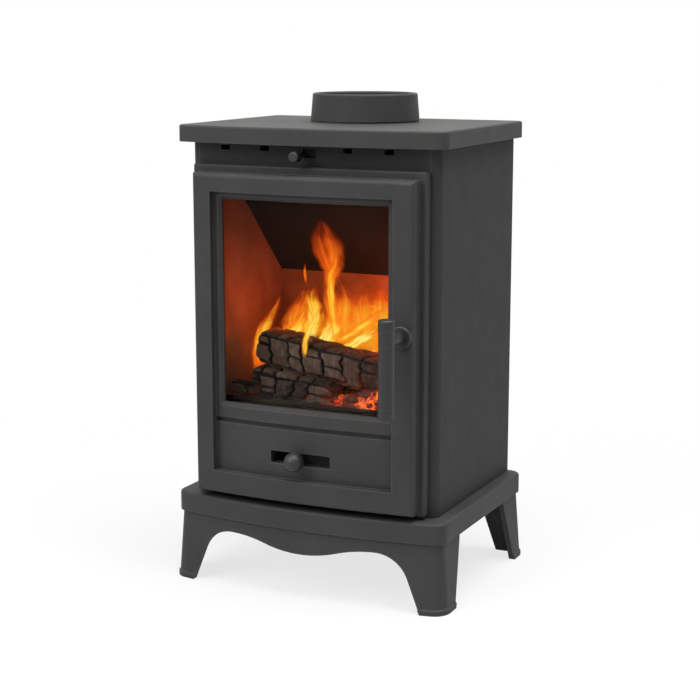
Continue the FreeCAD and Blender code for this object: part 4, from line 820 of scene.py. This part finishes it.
def tongue_width(share, widest):
    # Share of the half-width at a share of the height: fuller up to the widest place, then closing.
    if share < widest:
        return tongue_foot_share + (1 - tongue_foot_share) * math.sin(math.pi / 2 * share / widest)
    closing = math.cos(math.pi / 2 * (share - widest) / (1 - widest)) ** tongue_close_power
    return tongue_tip_share + (1 - tongue_tip_share) * closing


def flame_tongue(name, seed, depth, stops, half_width, widest, warmths, material):
    # Two sheets along a swaying line, one turned to the window and one across it.
    stops_x, stops_z = zip(*stops)
    sway = random.Random(seed).uniform(-tongue_sway, tongue_sway)
    points, flows, edges, rises, heats = [], [], [], [], []
    for degrees in tongue_turns:
        turn = math.radians(degrees + sway)
        across = Vector((math.cos(turn), math.sin(turn), 0))
        inward = Vector((-across.y, across.x, 0))
        climb = 0.0
        last = None
        for row in range(tongue_rows):
            share = row / (tongue_rows - 1)
            middle = Vector((smooth_line(stops_x, share), fire_y + depth, smooth_line(stops_z, share)))
            climb = climb + (middle - last).length if last else 0.0
            last = middle
            width = half_width * tongue_width(share, widest)
            for column in range(tongue_columns):
                off = 2 * column / (tongue_columns - 1) - 1
                spot = Vector((share * tongue_noise_up, off * tongue_noise_across, seed * seed_step))
                ripple = tongue_ripple_share * noise.noise(spot)
                cup = inward * (tongue_cup_share * width * off ** 2)
                points.append(middle + across * (width * (off + ripple)) + cup)
                flows.append((width * off, climb, seed * flow_step))
                edges.append(abs(off))
                rises.append(share)
                heats.append(smooth_line(warmths, share))
    grid = (len(tongue_turns), tongue_rows, tongue_columns)
    return flame_sheet(name, grid, points, flows, edges, rises, heats, material)


def flame_bank(name, depth, left, right, heights, lean, warmth, seed, material):
    # Wavy sheet of many low tongues that lean more and more towards the right.
    points, flows, edges, rises = [], [], [], []
    for row in range(bank_rows):
        share = row / (bank_rows - 1)
        for column in range(bank_columns):
            along = column / (bank_columns - 1)
            x = left[0] + (right[0] - left[0]) * along
            foot = left[1] + (right[1] - left[1]) * along
            climb = smooth_line(heights, along) * share
            wave = bank_wave * noise.noise(Vector((x * bank_noise_across, climb * bank_noise_up, seed)))
            points.append(Vector((x + lean * share * along ** 2, fire_y + depth + wave, foot + climb)))
            flows.append((x, climb, seed * flow_step))
            edges.append(max(0.0, abs(2 * along - 1) * bank_end_fade - bank_end_fade + 1))
            rises.append(share)
    heats = [warmth] * len(points)
    return flame_sheet(name, (1, bank_rows, bank_columns), points, flows, edges, rises, heats, material)


def dress_nodes():
    # Every solid takes the finish of its slot in the record, but for four that look darker or coarser.
    finishes = {slot: paint_material(slot, *values) for slot, values in paints.items()}
    finishes.update({
        "bare_iron": iron_material("burnt_iron", iron_tones),
        "dark_fasteners": fastener_material(),
        "fire_brick": brick_material(),
        "stove_glass": glass_material(),
        "fibre_seal": fibre_material(),
        "charred_wood": char_material(),
    })
    for part in frame["record"]["subparts"]:
        node = nodes[part["node"]]
        node.data.materials.clear()
        node.data.materials.append(finishes[part["material_slot"]])
    nodes["baffle"].data.materials[0] = iron_material("sooty_iron", soot_tones)
    nodes["base_plate"].data.materials[0] = finishes["stove_paint_cast"]
    slide = iron_material("slide_iron", slide_tones)
    for name in ("primary_air_slide", "airwash_slide"):
        nodes[name].data.materials[0] = slide
    return finishes["charred_wood"]


def lay_fire(char):
    fuel = [charred_log(*log, char) for log in logs]
    fuel.append(coal_bed(coal_material()))
    for piece in fuel:
        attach(piece, "stove_body")
    tongue = flame_material("flame_tongue", tongue_ragged, tongue_opacity)
    bank = flame_material("flame_bank", bank_ragged, bank_opacity)
    flames = [flame_tongue(*row, tongue) for row in tongues] + [flame_bank(*row, bank) for row in banks]
    for piece in flames:
        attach(piece, "stove_body")


def joined(tree, operation, first, second):
    node = tree.nodes.new("ShaderNodeMath")
    node.operation = operation
    for socket, value in zip(node.inputs, (first, second)):
        if isinstance(value, bpy.types.NodeSocket):
            tree.links.new(value, socket)
        else:
            socket.default_value = value
    return node.outputs["Value"]


def looked_at(tree):
    # One for a ray from the camera, straight or by way of glass or a reflection, and else zero.
    path = tree.nodes.new("ShaderNodeLightPath").outputs
    sharp = joined(tree, "MAXIMUM", path["Is Glossy Ray"], path["Is Transmission Ray"])
    sharp = joined(tree, "MULTIPLY", sharp, joined(tree, "LESS_THAN", path["Diffuse Depth"], 0.5))
    return joined(tree, "MAXIMUM", path["Is Camera Ray"], sharp)


def floor_material():
    # Pale floor that shows as the white background and keeps a soft shadow near the object.
    s = Shader("studio_floor")
    s.set(Base_Color=floor_tone, Roughness=0.9, Specular_IOR_Level=0.1)
    glow = s.add("ShaderNodeEmission")
    s.feed(glow.inputs["Color"], background_tone)
    reach = s.add("ShaderNodeVectorMath", operation="LENGTH")
    s.feed(reach.inputs[0], s.place())
    share = s.span(reach.outputs["Value"], floor_near, floor_far, *floor_glow_shares, smooth=True)
    mix = s.add("ShaderNodeMixShader")
    s.feed(mix.inputs[0], s.sum("MULTIPLY", looked_at(s.tree), share))
    s.feed(mix.inputs[1], s.surface.outputs["BSDF"])
    s.feed(mix.inputs[2], glow.outputs["Emission"])
    s.feed(s.tree.nodes["Material Output"].inputs["Surface"], mix.outputs["Shader"])
    return s.material


def make_floor():
    half = floor_half
    points = [(-half, -half, 0), (half, -half, 0), (half, half, 0), (-half, half, 0)]
    add_mesh("studio_floor", points, [(0, 1, 2, 3)], floor_material(), False)


def make_world():
    # White where the camera or the glass sees it, and plain soft light elsewhere.
    world = bpy.data.worlds.new("studio")
    bpy.context.scene.world = world
    world.use_nodes = True
    tree = world.node_tree
    sky = tree.nodes["Background"]
    sky.inputs["Color"].default_value = background_tone
    pick = tree.nodes.new("ShaderNodeMapRange")
    pick.inputs["To Min"].default_value = world_light
    pick.inputs["To Max"].default_value = 1.0
    tree.links.new(looked_at(tree), pick.inputs["Value"])
    tree.links.new(pick.outputs["Result"], sky.inputs["Strength"])


def add_lamp(name, kind, place, watts):
    lamp = bpy.data.lights.new(name, kind)
    lamp.energy = watts
    light = bpy.data.objects.new(name, lamp)
    light.location = place
    bpy.context.scene.collection.objects.link(light)
    return light


def studio_lamp(name, place, size, watts):
    light = add_lamp(name, "AREA", place, watts)
    light.data.shape = "DISK"
    light.data.size = size
    light.rotation_euler = (light_target - Vector(place)).to_track_quat("-Z", "Y").to_euler()


def fire_lamp(name, place, watts, radius):
    light = add_lamp(name, "POINT", place, watts)
    light.data.color = fire_lamp_tone
    light.data.shadow_soft_size = radius
    light.visible_camera = False
    light.visible_transmission = False
    light.visible_glossy = False


def make_lights():
    studio_lamp("key_light", key_place, key_size, key_watts)
    studio_lamp("top_light", top_place, top_size, top_watts)
    studio_lamp("fill_light", fill_place, fill_size, fill_watts)
    for i, (x, plane, depth, height, watts, radius) in enumerate(fire_lamps):
        fire_lamp(f"fire_lamp_{i}", (x, plane + depth, hearth_z + height), watts, radius)


def make_camera():
    lens = bpy.data.cameras.new("photo_camera")
    lens.lens = camera_lens
    lens.sensor_width = camera_sensor
    camera = bpy.data.objects.new("photo_camera", lens)
    camera.location = camera_place
    camera.rotation_euler = [math.radians(turn) for turn in camera_turn]
    bpy.context.scene.collection.objects.link(camera)
    bpy.context.scene.camera = camera


lay_fire(dress_nodes())
make_floor()
make_world()
make_lights()
make_camera()
bpy.context.scene.view_settings.view_transform = "Standard"
